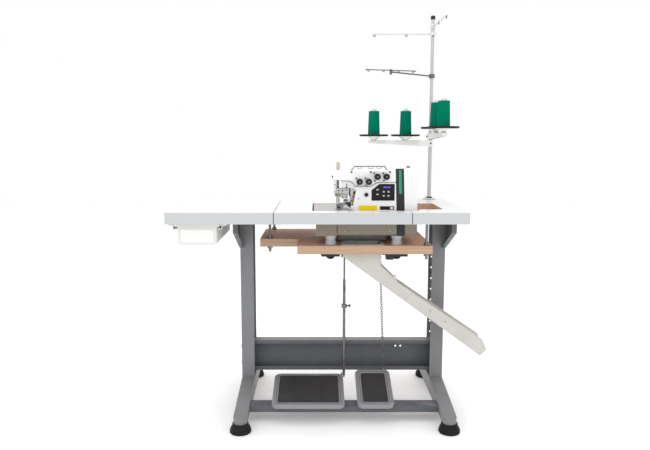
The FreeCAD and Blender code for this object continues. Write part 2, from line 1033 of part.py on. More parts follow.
def treadle_bar():
    left = column_places()[0][0] + column_width / 2
    right = column_places()[1][0] - column_width / 2
    bar = span(left, right, bar_front, bar_back, bar_top - bar_height, bar_top)
    bar = bar.cut(span(left + bar_wall, right - bar_wall, bar_front + bar_wall, bar_back - bar_wall,
                       bar_top - bar_height - cut_margin, bar_top - bar_wall))
    lugs = []
    tools = []
    rods = []
    for edge, width, depth, tilt, rim in treadles():
        for x in (edge + lug_inset, edge + width - lug_inset - lug_thickness):
            post = span(x, x + lug_thickness, pivot_y - lug_radius, pivot_y + lug_radius, bar_top - bar_wall, pivot_z)
            lugs += [post, along_x(x, x + lug_thickness, pivot_y, pivot_z, lug_radius)]
            tools.append(along_x(x - cut_margin, x + lug_thickness + cut_margin, pivot_y, pivot_z,
                                 pivot_radius + running_clearance))
        reach = lug_inset - 2 * lug_thickness - cut_margin
        rods.append(along_x(edge + reach, edge + width - reach, pivot_y, pivot_z, pivot_radius))
    for face in (left, right):
        for y, z in bar_bolt_places():
            tools.append(along_x(face - bar_wall - cut_margin, face + bar_wall + cut_margin, y, z, bolt_hole_radius()))
    return [cut_all(fused(bar, *lugs), tools)] + rods


def tilted(shape, edge, tilt):
    # Moves a treadle drawn flat, with its front left top corner at the origin, to its place at rest.
    shape.Placement = Placement(Vector(edge, treadle_front, treadle_front_z), Rotation(Vector(1, 0, 0), tilt))
    return shape


def treadle_pan(edge, width, depth, tilt, rim):
    # A pressed pan, open below, with a recess for its mat and two ribs that ride on the pivot rod.
    pan = plan_prism(rectangle(0, width, 0, depth), -treadle_thickness, 0, treadle_corner)
    pan = pan.makeFillet(treadle_edge, edges_at_z(pan, 0))
    hollow = plan_prism(rectangle(treadle_sheet, width - treadle_sheet, treadle_sheet, depth - treadle_sheet),
                        -treadle_thickness - cut_margin, -treadle_sheet - mat_recess, treadle_corner - treadle_sheet)
    recess = plan_prism(rectangle(treadle_rim, width - treadle_rim, treadle_rim, depth - rim),
                        -mat_recess, cut_margin, mat_corner)
    pan = tilted(cut_all(pan, [hollow, recess]), edge, tilt)
    above = tilted(span(-width, 2 * width, -depth, 2 * depth, -treadle_sheet, depth), edge, tilt)
    ribs = []
    for x in (edge + lug_inset - 2 * lug_thickness, edge + width - lug_inset + lug_thickness):
        rib = span(x, x + lug_thickness, pivot_y - lug_radius, pivot_y + lug_radius,
                   pivot_z, pivot_z + 2 * treadle_thickness)
        ring = along_x(x, x + lug_thickness, pivot_y, pivot_z, lug_radius)
        ribs.append(fused(rib, ring).cut(above))
    bore = along_x(edge, edge + width, pivot_y, pivot_z, pivot_radius + running_clearance)
    return fused(pan, *ribs).cut(bore)


def treadle_mat(edge, width, depth, tilt, rim):
    inset = treadle_rim + mat_clearance
    mat = plan_prism(rectangle(inset, width - inset, inset, depth - rim - mat_clearance),
                     -mat_recess, mat_thickness - mat_recess, mat_corner - mat_clearance)
    return tilted(mat, edge, tilt)


def pitman_pin_plate():
    # Plate at the rear of the speed treadle, with the pin that the pitman rod hooks on.
    outer = pitman_x - eye_thickness / 2 - link_gap
    inner = outer - link_plate
    reach = 2 * eye_half_slot
    plate = span(inner, outer, pitman_y - reach, pitman_y + 2 * pin_radius,
                 pitman_low_z - 2 * pin_radius, pitman_low_z + 1.5 * pin_radius)
    pin = along_x(outer, outer + pin_length, pitman_y, pitman_low_z, pin_radius)
    return plate, pin


def speed_treadle():
    return [fused(treadle_pan(*treadles()[0]), *pitman_pin_plate())]


def speed_treadle_mat():
    return [treadle_mat(*treadles()[0])]


def lift_staple():
    # Wire staple on the rear rim of the lift treadle, which the chain's last link slides along.
    top = staple_height
    foot = treadle_front_z + (staple_front - treadle_front) * math.tan(math.radians(lift_tilt))
    corners = [Vector(chain_low_x, staple_front, top), Vector(chain_low_x, staple_back, top)]
    pieces = [between(corners[0], corners[1], staple_radius)]
    for corner in corners:
        pieces.append(along_z(foot - treadle_sheet / 2, top, corner.x, corner.y, staple_radius))
        pieces.append(Part.makeSphere(staple_radius, corner))
    return pieces


def lift_treadle():
    return [fused(treadle_pan(*treadles()[1]), *lift_staple())]


def lift_treadle_mat():
    return [treadle_mat(*treadles()[1])]


# Pitman rod, speed unit and lever


def slotted_eye(z):
    # Flat eye with a slot along Y, which leaves room for the arc that its pin follows.
    x0 = pitman_x - eye_thickness / 2
    x1 = pitman_x + eye_thickness / 2
    half = pin_radius + eye_play
    run = eye_half_slot - half

    def stadium(radius):
        ends = [along_x(x0, x1, pitman_y + side * run, z, radius) for side in (-1, 1)]
        return fused(span(x0, x1, pitman_y - run, pitman_y + run, z - radius, z + radius), *ends)

    return stadium(half + eye_wall), stadium(half)


def pitman_rod():
    low_body, low_slot = slotted_eye(pitman_low_z)
    high_body, high_slot = slotted_eye(pitman_high_z)
    eye_half = pin_radius + eye_play + eye_wall / 2
    tube = along_z(pitman_low_z + eye_half, pitman_tube_top, pitman_x, pitman_y, pitman_tube_radius)
    bore_floor = pitman_tube_top - pitman_overlap - cut_margin
    bore = along_z(bore_floor, pitman_tube_top + cut_margin, pitman_x, pitman_y, pitman_rod_radius + running_clearance)
    lower = fused(tube, low_body).cut(low_slot).cut(bore)
    rod = along_z(pitman_tube_top - pitman_overlap, pitman_high_z - eye_half, pitman_x, pitman_y, pitman_rod_radius)
    upper = fused(rod, high_body).cut(high_slot)
    ring = along_z(pitman_clamp_z - clamp_height / 2, pitman_clamp_z + clamp_height / 2, pitman_x, pitman_y, clamp_radius)
    thumb = along_x(pitman_x, pitman_x + clamp_radius + thumb_length, pitman_y, pitman_clamp_z, thumb_radius / 2)
    grip = along_x(pitman_x + clamp_radius + thumb_length / 2, pitman_x + clamp_radius + thumb_length,
                   pitman_y, pitman_clamp_z, thumb_radius)
    hole = along_z(pitman_clamp_z - clamp_height, pitman_clamp_z + clamp_height, pitman_x, pitman_y,
                   pitman_tube_radius + running_clearance)
    clamp = fused(ring, thumb, grip).cut(hole)
    return [lower, upper, clamp]


def lever_plane():
    # X of the outer and inner face of the speed lever's plate.
    outer = pitman_x - eye_thickness / 2 - link_gap
    return outer - link_plate, outer


def speed_unit():
    inner, outer = lever_plane()
    right = inner - link_gap
    left = right - unit_width
    top = plate_under
    outline = rectangle(left, right, unit_front, unit_back)
    box = plan_prism(outline, top - unit_height, top, unit_corner)
    shaft = along_x(right, outer + link_gap, lever_pivot_y, top - lever_pivot_drop, lever_shaft_radius)
    return [fused(box, shaft)]


def speed_lever():
    inner, outer = lever_plane()
    pivot = Vector(inner, lever_pivot_y, plate_under - lever_pivot_drop)
    end = Vector(inner, pitman_y, pitman_high_z)
    hub = along_x(inner, outer, pivot.y, pivot.z, lever_hub_radius)
    tip = along_x(inner, outer, end.y, end.z, lever_end_radius)
    way = (end - pivot).normalize()
    across = Vector(0, -way.z, way.y)
    corners = [pivot + across * lever_hub_radius, end + across * lever_end_radius,
               end - across * lever_end_radius, pivot - across * lever_hub_radius]
    arm = side_prism([(corner.y, corner.z) for corner in corners], inner, outer)
    pin = along_x(outer, outer + pin_length, end.y, end.z, pin_radius)
    bore = along_x(inner - cut_margin, outer + cut_margin, pivot.y, pivot.z, lever_shaft_radius + running_clearance)
    return [fused(hub, tip, arm).cut(bore).fuse(pin).removeSplitter()]


# Lift chain and lever


def lift_pin():
    # The lift lever's pin and pivot at rest.
    pivot_level = plate_under - lift_lever_drop
    run = math.sqrt(lift_lever_reach ** 2 - lift_lever_rise ** 2)
    return Vector(chain_high_x, chain_y, pivot_level + lift_lever_rise), Vector(0, chain_y + run, pivot_level)


def chain_link(centre, tilt, turned_round):
    half_run = (link_inner_length - link_inner_width) / 2
    bow = (link_inner_width + link_wire) / 2
    radius = link_wire / 2
    sides = [along_z(-half_run, half_run, x, 0, radius) for x in (-bow, bow)]
    ends = []
    for level, start in ((half_run, 0), (-half_run, 180)):
        section = Part.Face(Part.Wire(Part.makeCircle(radius, Vector(bow, 0, level), Vector(0, 0, 1))))
        axis = Vector(0, -1, 0) if start == 0 else Vector(0, 1, 0)
        ends.append(section.revolve(Vector(0, 0, level), axis, 180))
    link = fused(sides[0], sides[1], *ends)
    if turned_round:
        link.rotate(Vector(0, 0, 0), Vector(0, 0, 1), 90)
    link.rotate(Vector(0, 0, 0), Vector(0, 1, 0), tilt)
    link.translate(centre)
    return link


def lift_chain():
    pin, pivot = lift_pin()
    ring_centre = Vector(pin.x, pin.y, pin.z - (ring_radius - ring_wire - lift_pin_radius - ring_play))
    ring = Part.makeTorus(ring_radius, ring_wire, ring_centre, Vector(1, 0, 0))
    half = link_inner_length / 2
    first = Vector(chain_high_x, chain_y, ring_centre.z - ring_radius + ring_wire + link_slack - half)
    last = Vector(chain_low_x, chain_y, staple_height - staple_radius - staple_play + half)
    way = last - first
    longest_pitch = link_inner_length - link_wire - link_slack
    steps = math.ceil(way.Length / longest_pitch)
    steps += steps % 2
    tilt = math.degrees(math.atan2(-way.x, -way.z))
    links = [chain_link(first + way * (i / steps), tilt, i % 2 == 1) for i in range(steps + 1)]
    gap = min(links[i].distToShape(links[i + 1])[0] for i in (0, steps // 2))
    print("chain links", steps + 1, "least gap between links", round(gap, 2))
    return [ring] + links


def lift_lever_span():
    return lift_lever_x, lift_lever_x + link_plate


def lift_lever():
    pin, pivot = lift_pin()
    x0, x1 = lift_lever_span()
    hub = along_x(x0, x1, pivot.y, pivot.z, lever_hub_radius)
    tip = along_x(x0, x1, pin.y, pin.z, lever_end_radius)
    way = Vector(0, pin.y - pivot.y, pin.z - pivot.z).normalize()
    across = Vector(0, -way.z, way.y)
    corners = [(pivot.y + across.y * lever_hub_radius, pivot.z + across.z * lever_hub_radius),
               (pin.y + across.y * lever_end_radius, pin.z + across.z * lever_end_radius),
               (pin.y - across.y * lever_end_radius, pin.z - across.z * lever_end_radius),
               (pivot.y - across.y * lever_hub_radius, pivot.z - across.z * lever_hub_radius)]
    arm = side_prism(corners, x0, x1)
    bore = along_x(x0 - cut_margin, x1 + cut_margin, pivot.y, pivot.z, lever_shaft_radius + running_clearance)
    stub = along_x(chain_high_x - 2 * ring_wire - link_gap, x0, pin.y, pin.z, lift_pin_radius)
    return [fused(hub, tip, arm).cut(bore).fuse(stub).removeSplitter()]


# Plates under the board and cushions on it


def under_board_plates():
    holes = [along_z(plate_under - cut_margin, board_under + cut_margin, x, y, cushion_bolt_radius + loose_clearance)
             for x in cushion_x for y in cushion_y]
    solids = []
    for left, right in (left_plate, right_plate):
        plate = plan_prism(rectangle(left, right, plate_front, plate_back), plate_under, board_under, plate_corner)
        solids.append(cut_all(plate, holes))
    pin, pivot = lift_pin()
    x0, x1 = lift_lever_span()
    ears = []
    for start in (x0 - link_gap - lift_ear_sheet, x1 + link_gap):
        post = span(start, start + lift_ear_sheet, pivot.y - lever_hub_radius, pivot.y + lever_hub_radius,
                    pivot.z, plate_under + plate_thickness / 2)
        ears += [post, along_x(start, start + lift_ear_sheet, pivot.y, pivot.z, lever_hub_radius)]
    axle = along_x(x0 - link_gap - lift_ear_sheet, x1 + link_gap + lift_ear_sheet, pivot.y, pivot.z, lever_shaft_radius)
    solids[1] = fused(solids[1], axle, *ears)
    up = Vector(0, 0, 1)
    for x in cushion_x:
        for y in cushion_y:
            solids.append(hexagon(cushion_nut_flats, Vector(x, y, plate_under - cushion_nut_height), up,
                                  cushion_nut_height, cushion_bolt_radius + running_clearance))
    return solids


def head_cushions():
    # A waisted rubber mount on a stud that passes through the board and its plate.
    tail = board_thickness + plate_thickness + cushion_nut_height
    profile = [
        (0, -tail), (cushion_bolt_radius, -tail), (cushion_bolt_radius, 0), (cushion_radius, 0),
        (cushion_radius, cushion_band), (cushion_waist, cushion_height / 2),
        (cushion_radius, cushion_height - cushion_band), (cushion_radius, cushion_height), (0, cushion_height),
    ]
    return [turned(profile, Vector(x, y, board_top), Vector(0, 0, 1)) for x in cushion_x for y in cushion_y]


def oil_pan():
    low = head_low - pan_depth
    outer = plan_prism(rectangle(pan_left, pan_right, pan_front, pan_back), low, head_low, pan_wall * 3)
    inner = plan_prism(rectangle(pan_left + pan_wall, pan_right - pan_wall, pan_front + pan_wall, pan_back - pan_wall),
                       low + pan_wall, head_low + cut_margin, pan_wall * 2)
    return [outer.cut(inner)]


# Waste chute


def shifted_line(start, end, offset):
    # Two points moved to the left of their direction, in the X-Z plane.
    along = Vector(end[0] - start[0], 0, end[1] - start[1]).normalize()
    side = Vector(-along.z, 0, along.x) * offset
    return (start[0] + side.x, start[1] + side.z), (end[0] + side.x, end[1] + side.z)


def chute():
    neck = board_under - chute_neck
    side_wall = [
        (chute_left, board_under), (chute_left, neck), chute_low, chute_tip, chute_lip,
        chute_step_low, chute_step_high, (chute_right, board_under - chute_throat), (chute_right, board_under),
    ]
    body = front_prism(side_wall, chute_front, chute_back)
    floor_start, floor_end = shifted_line((chute_left, neck), chute_low, chute_wall)
    run = Vector(floor_end[0] - floor_start[0], 0, floor_end[1] - floor_start[1])
    slope = run.z / run.x
    inside_left = chute_left + chute_wall
    inside_neck = floor_start[1] + slope * (inside_left - floor_start[0])
    beyond = floor_end[0] + chute_throat
    throat = board_under - chute_throat
    inside_right = chute_right - chute_wall
    inside = [
        (inside_left, board_under + cut_margin), (inside_left, inside_neck),
        (beyond, inside_neck + slope * (beyond - inside_left)),
        (beyond, throat), (inside_right, throat), (inside_right, board_under + cut_margin),
    ]
    hollow = front_prism(inside, chute_front + chute_wall, chute_back - chute_wall)
    flange = span(chute_left - chute_flange, chute_right + chute_flange, chute_front - chute_flange,
                  chute_back + chute_flange, board_under - chute_flange_sheet, board_under)
    trough = fused(body, flange).cut(hollow)
    fit = loose_clearance
    collar = plan_prism(rectangle(chute_left + fit, chute_right - fit, chute_front + fit, chute_back - fit),
                        board_under, board_top, board_corner)
    rim = span(chute_left - funnel_rim, chute_right + funnel_rim, chute_front - funnel_front_rim,
               chute_back + funnel_rim, board_top, board_top + funnel_sheet)
    mouth = span(chute_left + chute_wall, chute_right - chute_wall, chute_front + chute_wall,
                 chute_back - chute_wall, board_under - cut_margin, board_top + funnel_sheet + cut_margin)
    funnel = fused(collar, rim).cut(mouth)
    return [trough, funnel]


# Head casting and its covers


def band_left(level):
    share = (level - head_low) / band_top
    return band_left_low + (band_left_high - band_left_low) * share


def band_right(level):
    return band_left(level) + band_width


def depth_form(front, back, low, top, x0, x1, front_round, back_round):
    # Side view of the head: round at the top, front and back.
    return side_prism(rectangle(front, back, low, top), x0, x1, [0, 0, back_round, front_round])


def head_casting():
    body_outline = [
        (body_left, head_low), (band_left(head_low), head_low), (band_left(head_top), head_top), (body_left, head_top),
    ]
    body = front_prism(body_outline, casting_front, head_back)
    body = body.common(depth_form(casting_front, head_back, head_low, head_top, head_left, motor_right_low,
                                  head_round, head_back_round))
    bed = plan_prism(rectangle(head_left, body_left + cut_margin, casting_front, head_back), head_low, bed_top)
    front_block = span(head_left, bed_front_right, head_front, casting_front + cut_margin, head_low,
                       head_low + front_cover_shelf)
    arm_outline = [
        (arm_left, head_low + arm_underside), (arm_throat_x, head_low + arm_throat),
        (body_left + cut_margin, head_low + body_throat), (body_left + cut_margin, head_top), (arm_left, head_top),
    ]
    arm = front_prism(arm_outline, casting_front, arm_back_y, [head_round, head_back_round, 0, 0, 2 * head_round])
    arm = arm.common(depth_form(casting_front, arm_back_y, head_low, head_top, head_left, motor_right_low,
                                head_round, head_back_round))
    house_left, house_right, house_front, house_back = presser_housing
    housing = plan_prism(rectangle(house_left, house_right, house_front, house_back), head_low + presser_housing_low,
                         head_low + arm_underside + 2 * head_round, presser_housing_corner)
    casting = fused(body, bed, front_block, arm, housing)
    well_x0, well_x1, well_y0, well_y1 = looper_well
    arm_low = head_low + body_throat
    bar_hole_top = head_low + needle_bar_high + needle_stroke_up + cut_margin
    presser_hole_top = head_low + presser_top + presser_lift + cut_margin
    tools = [
        span(cavity_left, cavity_right, casting_front - cut_margin, cavity_back,
             head_low + cavity_floor, head_low + cavity_roof),
        span(well_x0, well_x1, well_y0, well_y1, head_low + cavity_roof - cut_margin, bed_top + cut_margin),
        along_x(shaft_left - cut_margin, motor_right_low, shaft_y, shaft_z, shaft_radius + running_clearance),
        along_z(arm_low, bar_hole_top, needle_x, needle_y, needle_bar_radius + running_clearance),
        along_z(arm_low, presser_hole_top, presser_x, presser_y, presser_radius + running_clearance),
        along_z(presser_hole_top, head_top + cut_margin, presser_x, presser_y, screw_stem_radius + running_clearance),
    ]
    pivot_z = head_low + cover_pivot_rise
    pin = along_x(bed_front_right - cut_margin, front_cover_left + cover_wall + hinge_pin_reach,
                  cover_pivot_y, pivot_z, hinge_pin_radius)
    return [fused(cut_all(casting, tools), pin)]


def hollow_cover(outline, radii, inner_front):
    # A cover with rounded front edges, hollow behind its wall.
    outer = front_prism(outline, head_front, casting_front, radii)
    outer = outer.makeFillet(cover_round, edges_at_y(outer, head_front))
    face = front_face(outline, inner_front, radii)
    inside = face.makeOffset2D(-cover_wall).extrude(Vector(0, casting_front - inner_front + cut_margin, 0))
    return outer.cut(inside)


def upper_cover():
    line = head_low + panel_line_high
    throat = head_low + body_throat
    outline = [
        (arm_left, head_low + arm_underside), (arm_throat_x, head_low + arm_throat), (body_left, throat),
        (panel_line_x[0], throat), (panel_line_x[1], line), (band_left(line) - seam_gap / 2, line),
        (band_left(head_top) - seam_gap / 2, head_top), (arm_left, head_top),
    ]
    radii = [head_round, 2 * head_round, head_round, head_round, head_round, 5, 5, 2 * head_round]
    return [hollow_cover(outline, radii, head_front + cover_wall)]


def control_outline(grow):
    return [
        (control_left - grow, head_low + control_bottom - grow),
        (control_right + grow, head_low + control_bottom - grow),
        (control_right + grow, head_low + control_top + grow),
        (control_slope_x - grow / 2, head_low + control_top + grow),
        (control_left - grow, head_low + control_slope + grow / 2),
    ]


def front_cover():
    low = head_low + front_cover_bottom
    shelf = head_low + front_cover_shelf
    line = head_low + panel_line_high - seam_gap
    throat = head_low + body_throat - seam_gap
    outline = [
        (front_cover_left, low), (band_left(low) - seam_gap / 2, low), (band_left(line) - seam_gap / 2, line),
        (panel_line_x[1] + seam_gap / 2, line), (panel_line_x[0] + seam_gap / 2, throat), (body_left, throat),
        (front_cover_step_x, head_low + front_cover_step), (front_cover_step_x, shelf), (front_cover_left, shelf),
    ]
    radii = [5, 5, 5, head_round, head_round, head_round, head_round, 5, 5]
    cover = hollow_cover(outline, radii, head_front + cover_wall)
    trimmed = span(front_cover_left - cut_margin, motor_right_low, casting_front - seam_gap, casting_front + cut_margin,
                   low - cut_margin, head_top)
    window = front_prism(control_outline(control_gap), head_front - cut_margin, casting_front, control_corner)
    pivot_z = head_low + cover_pivot_rise
    right = band_left(pivot_z) - seam_gap / 2
    bores = [along_x(start - cut_margin, start + cover_wall + cut_margin, cover_pivot_y, pivot_z,
                     hinge_pin_radius + running_clearance) for start in (front_cover_left, right - cover_wall)]
    return [cut_all(cover.cut(trimmed).cut(window), bores)]


def cover_knob():
    r = cover_knob_radius
    length = cover_knob_length
    profile = [(0, 0), (r * 0.7, 0), (r * 0.7, length * 0.3), (r, length * 0.4), (r, length * 0.85),
               (r * 0.8, length), (0, length)]
    return [turned(profile, Vector(cover_knob_x, head_front, head_low + cover_knob_rise), Vector(0, -1, 0))]


def trim_band():
    top = head_low + band_top
    outline = [(band_left(head_low), head_low), (band_right(head_low), head_low),
               (band_right(top), top), (band_left(top), top)]
    band = front_prism(outline, head_front, head_back)
    band = band.common(depth_form(head_front, head_back, head_low, top, head_left, motor_right_low,
                                  band_round, head_back_round))
    bore = along_x(head_left, motor_right_low, shaft_y, shaft_z, shaft_radius + loose_clearance)
    pivot_z = head_low + cover_pivot_rise
    tip = band_left(pivot_z) - seam_gap / 2 - cover_wall - hinge_pin_reach
    pin = along_x(tip, band_left(pivot_z) + cut_margin, cover_pivot_y, pivot_z, hinge_pin_radius)
    return [fused(cut_all(band, [bore, insert_block(0)]), pin)]


def insert_block(proud):
    top = head_low + band_top - band_round
    low = top - insert_length
    margin = (band_width - insert_width) / 2
    outline = [(band_left(low) + margin, low), (band_left(low) + margin + insert_width, low),
               (band_left(top) + margin + insert_width, top), (band_left(top) + margin, top)]
    return front_prism(outline, head_front - (proud if proud else cut_margin), head_front + insert_depth,
                       [insert_width * 0.3, insert_width * 0.3, 0.5, 0.5])


def green_insert():
    return [insert_block(insert_proud)]


def motor_cover():
    low = head_low + front_cover_bottom
    top = head_low + motor_top
    outline = [(band_right(low), low), (motor_right_low, low), (motor_right_high, top), (band_right(top), top)]
    outer = front_prism(outline, head_front, head_back, [0, motor_edge, motor_round, 0])
    inner_outline = [(band_right(low) - band_width, low + motor_wall), (motor_right_low - motor_wall, low + motor_wall),
                     (motor_right_high - motor_wall, top - motor_wall), (band_right(top) - band_width, top - motor_wall)]
    inner = front_prism(inner_outline, head_front + motor_wall, head_back - motor_wall,
                        [0, motor_edge - motor_wall / 2, motor_round - motor_wall, 0])
    rounds = depth_form(head_front, head_back, low, top, head_left, motor_right_low + cut_margin,
                        band_round, head_back_round)
    slot = span(motor_slot[0], motor_slot[1], head_front + motor_slot_inset,
                head_front + motor_slot_inset + motor_slot_width, top - motor_wall - cut_margin, top + cut_margin)
    opening = along_x(motor_right_high - 4 * motor_wall, motor_right_low + cut_margin, shaft_y, shaft_z, wheel_hole_radius)
    return [cut_all(outer.common(rounds), [inner, slot, opening])]


def control_panel():
    front = head_front - control_proud
    plate = front_prism(control_outline(0), front, front + control_plate, control_corner)
    plate = plate.makeFillet(control_corner / 2, edges_at_y(plate, front))
    inset = control_box_inset
    box = span(control_left + inset, control_right - inset, front + control_plate, casting_front,
               head_low + control_bottom + inset, head_low + control_slope)
    tools = [span(display_left, display_right, front - cut_margin, front + display_recess,
                  head_low + display_bottom, head_low + display_top)]
    for x, rise in key_places:
        tools.append(key_block(x, rise, key_gap, front - cut_margin,
                               front - key_proud + key_body + key_travel + key_gap))
    return [cut_all(fused(plate, box), tools)]


def key_block(x, rise, grow, y0, y1):
    half_width = key_width / 2 + grow
    half_height = key_height / 2 + grow
    level = head_low + rise
    return front_prism(rectangle(x - half_width, x + half_width, level - half_height, level + half_height),
                       y0, y1, key_corner)


def key(index):
    x, rise = key_places[index]
    front = head_front - control_proud - key_proud
    cap = key_block(x, rise, 0, front, front + key_body)
    return [cap.makeFillet(key_corner / 3, edges_at_y(cap, front))]


# Cloth plate, needle plate and sewing parts


def cloth_plate():
    plate = plan_prism(rectangle(cloth_left, cloth_right, cloth_front, head_back), bed_top, cloth_top,
                       [cloth_corner, 0, 0, cloth_corner])
    skirt = span(cloth_left + cloth_corner, cloth_right, cloth_front, cloth_front + plate_sheet,
                 bed_top - cloth_skirt, bed_top + plate_sheet / 2)
    hole = plan_prism(rectangle(needle_plate_left - plate_fit, needle_plate_right + plate_fit,
                                needle_plate_front - plate_fit, needle_plate_back + plate_fit),
                      bed_top - cut_margin, cloth_top + cut_margin, needle_plate_corner + plate_fit)
    return [fused(plate, skirt).cut(hole)]


def needle_plate():
    plate = plan_prism(rectangle(needle_plate_left, needle_plate_right, needle_plate_front, needle_plate_back),
                       bed_top, cloth_top, needle_plate_corner)
    slot_half = needle_spread + 2 * needle_radius + 1
    tools = [span(needle_x - slot_half, needle_x + slot_half, needle_y - 2, needle_y + 2,
                  bed_top - cut_margin, cloth_top + cut_margin)]
    for x in feed_bars:
        half = feed_bar_width / 2 + loose_clearance
        tools.append(span(x - half, x + half, feed_front - loose_clearance, cavity_back + loose_clearance,
                          bed_top - cut_margin, cloth_top + cut_margin))
    return [cut_all(plate, tools)]


def needle_bar():
    low = head_low + needle_bar_low
    bar = along_z(low, head_low + needle_bar_high, needle_x, needle_y, needle_bar_radius)
    clamp = span(needle_x - clamp_half, needle_x + clamp_half, needle_y - clamp_half, needle_y + clamp_half,
                 low - clamp_tall, low)
    clamp = clamp.makeChamfer(1.5, clamp.Edges)
    pieces = [clamp]
    for side in (-1, 1):
        x = needle_x + side * needle_spread
        tip = head_low + needle_tip
        point = 4 * needle_radius
        pieces.append(along_z(tip + point, low - clamp_tall / 2, x, needle_y, needle_radius))
        pieces.append(Part.makeCone(needle_radius / 4, needle_radius, point, Vector(x, needle_y, tip)))
    return [fused(bar, *pieces)]


def presser_foot():
    low = cloth_top + sole_gap
    sole = plan_prism(rectangle(sole_left, sole_right, sole_front, sole_back), low, low + sole_thickness, 5)
    toe = span(sole_left - cut_margin, sole_right + cut_margin, sole_front - cut_margin, sole_front + 3,
               low - cut_margin, low + 1)
    slot = span(needle_x - sole_slot_half, needle_x + sole_slot_half, needle_y - sole_slot_half, needle_y + sole_slot_half,
                low - cut_margin, low + sole_thickness + cut_margin)
    sole = sole.cut(toe).cut(slot)
    shank = span(presser_x - shank_half, presser_x + shank_half, presser_y - shank_half, presser_y + shank_half,
                 low + sole_thickness / 2, low + shank_height)
    bar = along_z(low + shank_height / 2, head_low + presser_top, presser_x, presser_y, presser_radius)
    top = low + sole_thickness
    rise = low + foot_body_height
    wedge = side_prism([(foot_body_front, top), (foot_body_back, top), (foot_body_back, rise), (presser_y, rise)],
                       foot_body[0], foot_body[1])
    return [fused(sole, shank, bar, wedge)]


def pressure_screw():
    base = head_top + screw_gap
    r = screw_radius
    profile = [(0, -screw_stem), (screw_stem_radius, -screw_stem), (screw_stem_radius, 0), (r, 0),
               (r, screw_height - r / 3), (r * 0.7, screw_height), (0, screw_height)]
    return [turned(profile, Vector(presser_x, presser_y, base), Vector(0, 0, 1))]


def loopers_and_knives():
    solids = []
    floor = head_low + cavity_floor
    for x in looper_x:
        lean = looper_lean if x < needle_x else -looper_lean
        bend = Vector(x, looper_y, head_low + looper_bend)
        tip = Vector(x + lean, looper_y, head_low + looper_top)
        solids.append(fused(along_z(floor, bend.z, x, looper_y, looper_radius),
                            Part.makeSphere(looper_radius, bend), between(bend, tip, looper_radius * 0.7)))
    base_low = head_low + feed_base
    half = feed_bar_width / 2
    base = span(feed_bars[0] - half, feed_bars[1] + half, feed_front, cavity_back, base_low, base_low + feed_base_height)
    teeth = [span(x - half, x + half, feed_front, cavity_back, base_low, cloth_top + feed_proud) for x in feed_bars]
    solids.append(fused(base, *teeth))
    blade_right = knife_left + knife_thickness
    blade = span(knife_left, blade_right, knife_front, knife_front + knife_width, head_low + knife_low,
                 head_low + knife_low + knife_height)
    block = span(blade_right, body_left, knife_front - knife_block_margin, knife_front + knife_width + knife_block_margin,
                 head_low + knife_block_low, head_low + knife_block_low + knife_block_height)
    block = block.makeChamfer(3, [edge for edge in block.Edges if abs(edge.BoundBox.YLength) < 1e-6
                                  and abs(edge.BoundBox.XLength) < 1e-6])
    guard_z = head_low + guard_low
    guard_back = guard_front + guard_sheet
    middle = guard_z + guard_height / 2
    guard = span(guard_left, guard_right, guard_front, guard_back, guard_z, guard_z + guard_height)
    bracket = span(guard_right - 2 * guard_bracket / 3, body_left, guard_back, guard_bracket_back,
                   middle - guard_bracket / 2, middle + guard_bracket / 2)
    neck = span(guard_right - 2 * guard_bracket / 3, guard_right, guard_front, guard_bracket_back,
                middle - guard_bracket / 2, middle + guard_bracket / 2)
    return solids + [blade, block, fused(guard, bracket, neck)]


# Main shaft, motor and hand wheel


def main_shaft():
    profile = [(0, shaft_left), (shaft_radius, shaft_left), (shaft_radius, rotor_left), (rotor_radius, rotor_left),
               (rotor_radius, rotor_right), (shaft_radius, rotor_right), (shaft_radius, shaft_right), (0, shaft_right)]
    return [turned(profile, Vector(0, shaft_y, shaft_z), Vector(1, 0, 0))]


def motor_stator():
    start = band_left(head_top) + band_width / 2
    ring = along_x(start, stator_right, shaft_y, shaft_z, stator_radius)
    bore = along_x(start, stator_right, shaft_y, shaft_z, rotor_radius + stator_gap)
    top = head_low + band_top
    outline = [(band_left(head_low), head_low), (band_right(head_low), head_low),
               (band_right(top), top), (band_left(top), top)]
    return [ring.cut(bore).cut(front_prism(outline, head_front, head_back))]


def hand_wheel():
    web = (wheel_left + wheel_right) / 2
    inner = wheel_radius - wheel_rim
    bore = shaft_radius + running_clearance
    profile = [
        (bore, wheel_left), (wheel_hub_radius, wheel_left), (wheel_hub_radius, web - wheel_web / 2),
        (inner, web - wheel_web / 2), (inner, wheel_left), (wheel_radius - 1, wheel_left), (wheel_radius, wheel_left + 1),
        (wheel_radius, wheel_right - 2), (wheel_radius - 2, wheel_right), (inner, wheel_right),
        (inner, web + wheel_web / 2), (wheel_hub_radius, web + wheel_web / 2), (wheel_hub_radius, shaft_right),
        (bore, shaft_right),
    ]
    wheel = turned(profile, Vector(0, shaft_y, shaft_z), Vector(1, 0, 0))
    finger = along_x(wheel_left, wheel_right, shaft_y, shaft_z + (inner + wheel_hub_radius) / 2, wheel_rim / 2)
    holes = []
    for i in range(6):
        hole = finger.copy()
        hole.rotate(Vector(0, shaft_y, shaft_z), Vector(1, 0, 0), 60 * i)
        holes.append(hole)
    return [cut_all(wheel, holes)]


# Tension posts, knobs and guides on the head


